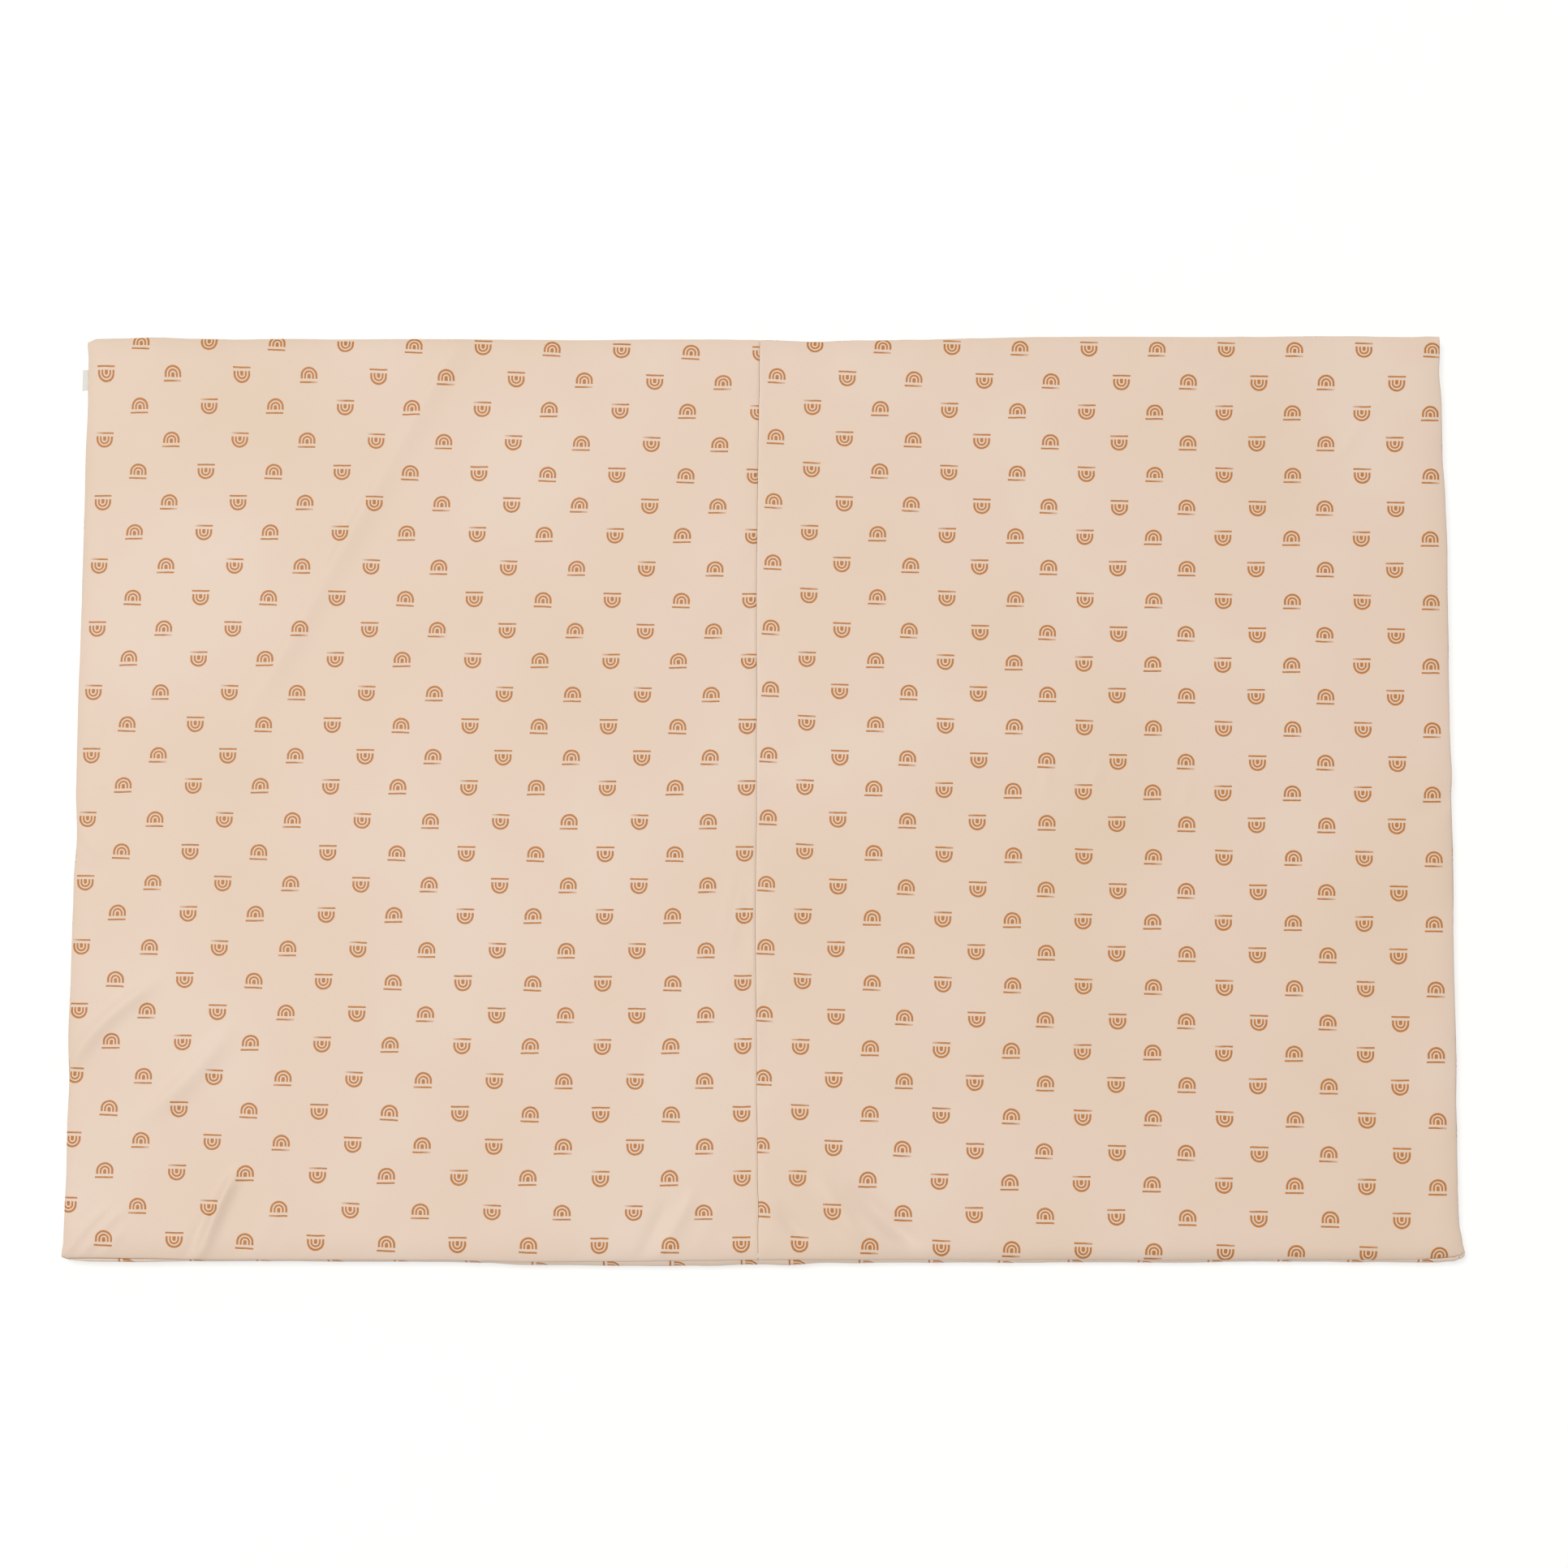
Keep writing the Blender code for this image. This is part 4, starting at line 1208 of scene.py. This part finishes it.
@dataclass
class FoldSeam:
    """The sewn edge along the fold line: folded allowances between the halves, and their stitches."""

    fold_line: float = -0.005
    stitch_drop: float = 0.00100
    thickness: float = 0.0016
    depth: float = 0.0080
    below_face: float = 0.00035
    end_inset: float = 0.0042
    stitch_pitch: float = 0.0030
    stitch_length: float = 0.0017
    stitch_radius: float = 0.00018

    def line(self, y: Values) -> Values:
        """Where the fold line runs, in X."""
        return self.fold_line + read_rows(FOLD_EDGE, y)[0]

    def places(self, half: MatHalf) -> tuple[Values, Values]:
        """Places along the seam, and the height of the edge over each."""
        reach = half.face_depth / 2.0 - self.end_inset
        y = np.linspace(-reach, reach, 331)
        edge = np.full_like(y, half.ends[1])
        return y, half.top(edge, y) - self.below_face

    def build_edge(self, half: MatHalf, material: Material) -> Piece:
        """Builds the folded allowances, with a groove where the two covers meet."""
        y, top = self.places(half)
        half_wide = self.thickness / 2.0
        section = (
            (0.00, -0.00090),
            (0.30, -0.00060),
            (0.70, -0.00110),
            (1.00, -0.00180),
            (1.00, -self.depth),
            (-1.00, -self.depth),
            (-1.00, -0.00180),
            (-0.70, -0.00110),
            (-0.30, -0.00060),
        )
        points = []
        for share, level in section:
            x = self.line(y) + share * half_wide
            points.append(np.stack((x, y, top + level), axis=-1))
        faces = tube_faces(len(section), len(y))
        return new_piece("fold_seam_edge", np.concatenate(points), faces, [material])

    def build_stitches(self, half: MatHalf, material: Material) -> Piece:
        """Lays stitches across the seam's groove with Geometry Nodes."""
        y, top = self.places(half)
        x = self.line(y)
        path = bpy.data.meshes.new("fold_seam_path")
        edges = [(index, index + 1) for index in range(len(y) - 1)]
        path.from_pydata(np.stack((x, y, top - self.stitch_drop), axis=-1).tolist(), edges, [])
        carrier = bpy.data.objects.new("fold_seam_path", path)
        bpy.context.scene.collection.objects.link(carrier)
        tree, inputs = self.stitch_tree(material)
        modifier = carrier.modifiers.new("stitches", "NODES")
        modifier.node_group = tree
        modifier[inputs["Pitch"]] = self.stitch_pitch
        modifier[inputs["Length"]] = self.stitch_length
        modifier[inputs["Radius"]] = self.stitch_radius
        view = bpy.context.evaluated_depsgraph_get()
        data = bpy.data.meshes.new_from_object(carrier.evaluated_get(view))
        data.name = "fold_seam_stitches"
        bpy.data.objects.remove(carrier, do_unlink=True)
        bpy.data.meshes.remove(path)
        piece = bpy.data.objects.new("fold_seam_stitches", data)
        bpy.context.scene.collection.objects.link(piece)
        return piece

    def stitch_tree(self, material: Material) -> tuple[bpy.types.NodeTree, dict[str, str]]:
        """The Geometry Nodes tree of a row of stitches, and the identifiers of its inputs."""
        tree = bpy.data.node_groups.new("stitch_row", "GeometryNodeTree")
        tree.interface.new_socket("Geometry", in_out="INPUT", socket_type="NodeSocketGeometry")
        inputs = {}
        for name in ("Pitch", "Length", "Radius"):
            socket = tree.interface.new_socket(name, in_out="INPUT", socket_type="NodeSocketFloat")
            inputs[name] = socket.identifier
        tree.interface.new_socket("Geometry", in_out="OUTPUT", socket_type="NodeSocketGeometry")
        given = add_node(tree, "NodeGroupInput")
        path = add_node(tree, "GeometryNodeMeshToCurve", None, {0: given.outputs["Geometry"]})
        spacing = {"Curve": path.outputs[0], "Length": given.outputs["Pitch"]}
        places = add_node(tree, "GeometryNodeCurveToPoints", {"mode": "LENGTH"}, spacing)
        size = {"Vertices": 8, "Side Segments": 3}
        size.update({"Radius": given.outputs["Radius"], "Depth": given.outputs["Length"]})
        stitch = add_node(tree, "GeometryNodeMeshCylinder", None, size)
        # Each stitch crosses the groove a little askew, with a fixed seed
        askew = {0: (-0.10, 1.40, -0.18), 1: (0.10, 1.74, 0.18), "Seed": 5}
        turn = add_node(tree, "FunctionNodeRandomValue", {"data_type": "FLOAT_VECTOR"}, askew)
        laid = {"Points": places.outputs["Points"], "Instance": stitch.outputs["Mesh"]}
        laid["Rotation"] = turn.outputs[0]
        rows = add_node(tree, "GeometryNodeInstanceOnPoints", None, laid)
        plain = add_node(tree, "GeometryNodeRealizeInstances", None, {0: rows.outputs[0]})
        dress = {"Geometry": plain.outputs[0], "Material": material}
        dressed = add_node(tree, "GeometryNodeSetMaterial", None, dress)
        add_node(tree, "NodeGroupOutput", None, {0: dressed.outputs[0]})
        return tree, inputs


@dataclass
class SideTag:
    """A short woven ribbon, folded double and caught in the left seam."""

    from_y: float = 0.4445
    width: float = 0.0230
    reach: float = 0.0062
    droop: float = 0.0022
    ribbon_thickness: float = 0.00034
    loop_height: float = 0.00080
    top_below_seam: float = 0.0004

    def build(self, half: MatHalf, material: Material) -> tuple[Piece, tuple]:
        """Builds the folded ribbon as one closed sheet.

        Args:
            half: the half that holds it in its seam.
            material: the ribbon's material.

        Returns:
            The piece, and the width and length that it was cut to.
        """
        middle = np.array([self.from_y + self.width / 2.0])
        edge = half.outline(np.array([half.ends[0]]), middle)
        root = float(edge.x[0]) - 2.0 * half.piece_gap
        top = float(half.top(np.array([half.ends[0]]), middle)[0]) - self.top_below_seam
        reach = self.reach - self.loop_height / 2.0
        upper = [(root - reach * share, top - self.droop * share * share) for share in np.linspace(0, 1, 9)]
        middle_height = self.loop_height / 2.0
        turn_x, turn_z = upper[-1][0], upper[-1][1] - middle_height
        line = list(upper)
        for angle in np.linspace(math.pi / 2.0, 3.0 * math.pi / 2.0, 9)[1:-1]:
            line.append((turn_x + middle_height * math.cos(angle), turn_z + middle_height * math.sin(angle)))
        line += [(x, z - self.loop_height) for x, z in reversed(upper)]
        path = np.array(line)
        # The path is the ribbon's outer face, and its inner face lies one thickness inside
        run = np.gradient(path, axis=0)
        run /= np.linalg.norm(run, axis=1, keepdims=True)
        inside = path + np.stack((-run[:, 1], run[:, 0]), axis=-1) * self.ribbon_thickness
        section = np.concatenate((path, inside[::-1]))
        length = float(np.linalg.norm(np.diff(path, axis=0), axis=1).sum())
        y = np.linspace(self.from_y, self.from_y + self.width, 17)
        wave = 0.00018 * np.sin((y - self.from_y) / self.width * 2.2 * math.pi)
        points = []
        for x, z in section:
            lift = wave * (root - x) / self.reach
            points.append(np.stack((np.full_like(y, x), y, z + lift), axis=-1))
        faces = [face[::-1] for face in tube_faces(len(section), len(y))]
        piece = new_piece("side_tag_ribbon", np.concatenate(points), faces, [material])
        return piece, (self.width, round(length, 4))


def turned_pair(first: Vector, second: Vector, angle: float) -> tuple[Vector, Vector]:
    """Two level directions, turned by an angle from the first towards the second."""
    cosine, sine = math.cos(angle), math.sin(angle)
    return first * cosine + second * sine, second * cosine - first * sine


@dataclass
class Studio:
    """The floor, the soft lights and the camera of the photograph's view."""

    focal_pixels: float = 4250.0
    sensor: float = 36.0
    tilt: float = 7.735
    roll: float = -0.076
    yaw: float = -0.272
    aim: tuple[float, float] = (0.0404, 0.0091)
    distance: float = 3.7583
    floor_colour: str = "#A2A2A1"
    floor_glow: float = 0.66
    floor_size: float = 14.0
    world_colour: str = "#FFFEFC"
    world_strength: float = 0.39
    key_place: tuple[float, float, float] = (-5.2, 3.6, 20.6)
    key_size: float = 8.5
    key_power: float = 3000.0
    key_colour: str = "#FFFCF7"
    key_aim: tuple[float, float, float] = (-0.1, 0.0, 0.0)

    def build_floor(self) -> Piece:
        """Builds the floor: a wide sheet of seamless studio paper."""
        material, tree, shader = new_material("studio_paper_matt")
        place = add_node(tree, "ShaderNodeTexCoord").outputs["Object"]
        fibres = add_node(tree, "ShaderNodeTexNoise", None, {"Vector": place, "Scale": 260.0, "Detail": 3.0})
        bump = add_node(tree, "ShaderNodeBump", None, {"Distance": 0.00005, "Height": fibres.outputs[0]})
        shader.inputs["Base Color"].default_value = linear(self.floor_colour)
        shader.inputs["Roughness"].default_value = 0.9
        shader.inputs["Specular IOR Level"].default_value = 0.1
        # The paper is over-lit, so that it stays white and shadows fade close to the mat
        shader.inputs["Emission Color"].default_value = (1.0, 1.0, 1.0, 1.0)
        shader.inputs["Emission Strength"].default_value = self.floor_glow
        tree.links.new(bump.outputs[0], shader.inputs["Normal"])
        reach = self.floor_size / 2.0
        corners = np.array([(-1, -1, 0), (1, -1, 0), (1, 1, 0), (-1, 1, 0)]) * reach
        floor = new_piece("studio_floor", corners, [(0, 1, 2, 3)], [material])
        floor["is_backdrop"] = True
        return floor

    def add_lights(self) -> None:
        """Adds a wide soft light from the back left and an even pale surround."""
        data = bpy.data.lights.new("key_light", "AREA")
        data.shape = "DISK"
        data.size = self.key_size
        data.energy = self.key_power
        data.color = linear(self.key_colour)[:3]
        key = bpy.data.objects.new("key_light", data)
        key.location = self.key_place
        shining = Vector(self.key_aim) - Vector(self.key_place)
        key.rotation_euler = shining.to_track_quat("-Z", "Y").to_euler()
        bpy.context.scene.collection.objects.link(key)
        world = bpy.data.worlds.new("pale_surround")
        world.use_nodes = True
        surround = world.node_tree.nodes["Background"]
        surround.inputs["Color"].default_value = linear(self.world_colour)
        surround.inputs["Strength"].default_value = self.world_strength
        bpy.context.scene.world = world

    def add_camera(self) -> None:
        """Adds the camera, high over the front edge and looking down at a slight tilt."""
        tilt, roll, yaw = (math.radians(angle) for angle in (self.tilt, self.roll, self.yaw))
        ahead = Vector((0.0, math.sin(tilt), -math.cos(tilt)))
        right = Vector((1.0, 0.0, 0.0))
        up = Vector((0.0, math.cos(tilt), math.sin(tilt)))
        place = Vector((self.aim[0], self.aim[1], 0.0)) - ahead * self.distance
        ahead, right = turned_pair(ahead, right, yaw)
        right, up = turned_pair(right, up, roll)
        data = bpy.data.cameras.new("photo_camera")
        data.sensor_width = self.sensor
        data.lens = self.focal_pixels * self.sensor / IMAGE_SIZE
        data.clip_end = 60.0
        camera = bpy.data.objects.new("photo_camera", data)
        turned = Matrix((right, up, -ahead)).transposed().to_4x4()
        camera.matrix_world = Matrix.Translation(place) @ turned
        bpy.context.scene.collection.objects.link(camera)
        bpy.context.scene.camera = camera

    def set_view(self) -> None:
        """Shows colours as they are, with no film curve."""
        view = bpy.context.scene.view_settings
        view.view_transform = "Standard"
        view.look = "None"
        view.exposure = 0.0


def report_piece(piece: Piece, *nodes: str) -> None:
    """Logs a piece's size, and how far its box lies from the boxes of the nodes that it stands for."""
    triangles = sum(len(face.vertices) - 2 for face in piece.data.polygons)
    corners = np.array([vertex.co for vertex in piece.data.vertices])
    low, high = corners.min(axis=0), corners.max(axis=0)
    LOG.info("%s: %d triangles, from %s to %s", piece.name, triangles, low.round(4), high.round(4))
    for node in nodes:
        node_low, node_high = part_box(node)
        off = max(np.abs(low - node_low).max(), np.abs(high - node_high).max())
        LOG.info("  %.1f mm off the box of %s", off / MILLIMETRE, node)


def dress_half(half: MatHalf, printed: Material, plain: Material) -> None:
    """Builds a half and its boxing, and puts them in the place of their CAD nodes.

    Args:
        half: the half.
        printed: the printed faux leather of its top panel and boxing.
        plain: the plain faux leather of its underside.
    """
    pad = half.build_pad([printed, plain])
    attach(pad, "root")
    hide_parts(f"{half.name}_pad")
    report_piece(pad, f"{half.name}_pad")
    for strip in Strip:
        piece, flat = half.build_strip(strip, printed)
        node = f"{half.name}_{strip.value}_boxing"
        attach(piece, "root")
        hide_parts(node)
        report_piece(piece, node)


def main() -> None:
    """Builds the studio and the mat, piece by piece."""
    logging.basicConfig(level=logging.INFO, format="%(message)s")
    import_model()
    frame_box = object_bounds()
    studio = Studio()
    studio.add_camera()
    studio.build_floor()
    studio.add_lights()
    studio.set_view()

    leather = FauxLeather()
    stamp = BlockPrint()
    plain = leather.material("faux_leather_plain")
    left = MatHalf(Side.LEFT, LEFT_FOLDS, LEFT_REPEAT, (-0.0168, 0.03665), 100)
    right = MatHalf(Side.RIGHT, RIGHT_FOLDS, RIGHT_REPEAT, (0.0358, 0.03715), 200)
    for half in (left, right):
        printed = leather.material(f"faux_leather_printed_{half.name}", stamp, half.repeat.chart)
        dress_half(half, printed, plain)

    seam = FoldSeam()
    edge = seam.build_edge(left, SewnEdge().material())
    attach(edge, "root")
    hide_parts("fold_seam")
    report_piece(edge, "fold_seam")
    stitches = seam.build_stitches(left, SewingThread().material())
    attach(stitches, "root")
    report_piece(stitches)

    tag, flat = SideTag().build(left, WovenRibbon().material())
    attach(tag, "root")
    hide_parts("side_tag")
    report_piece(tag, "side_tag")

    boxes = {"cad": frame_box, "visual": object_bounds()}
    boxes = {name: [list(corner) for corner in box] for name, box in boxes.items()}
    LOG.info("sizes: %s", boxes)


if __name__ == "__main__":
    main()
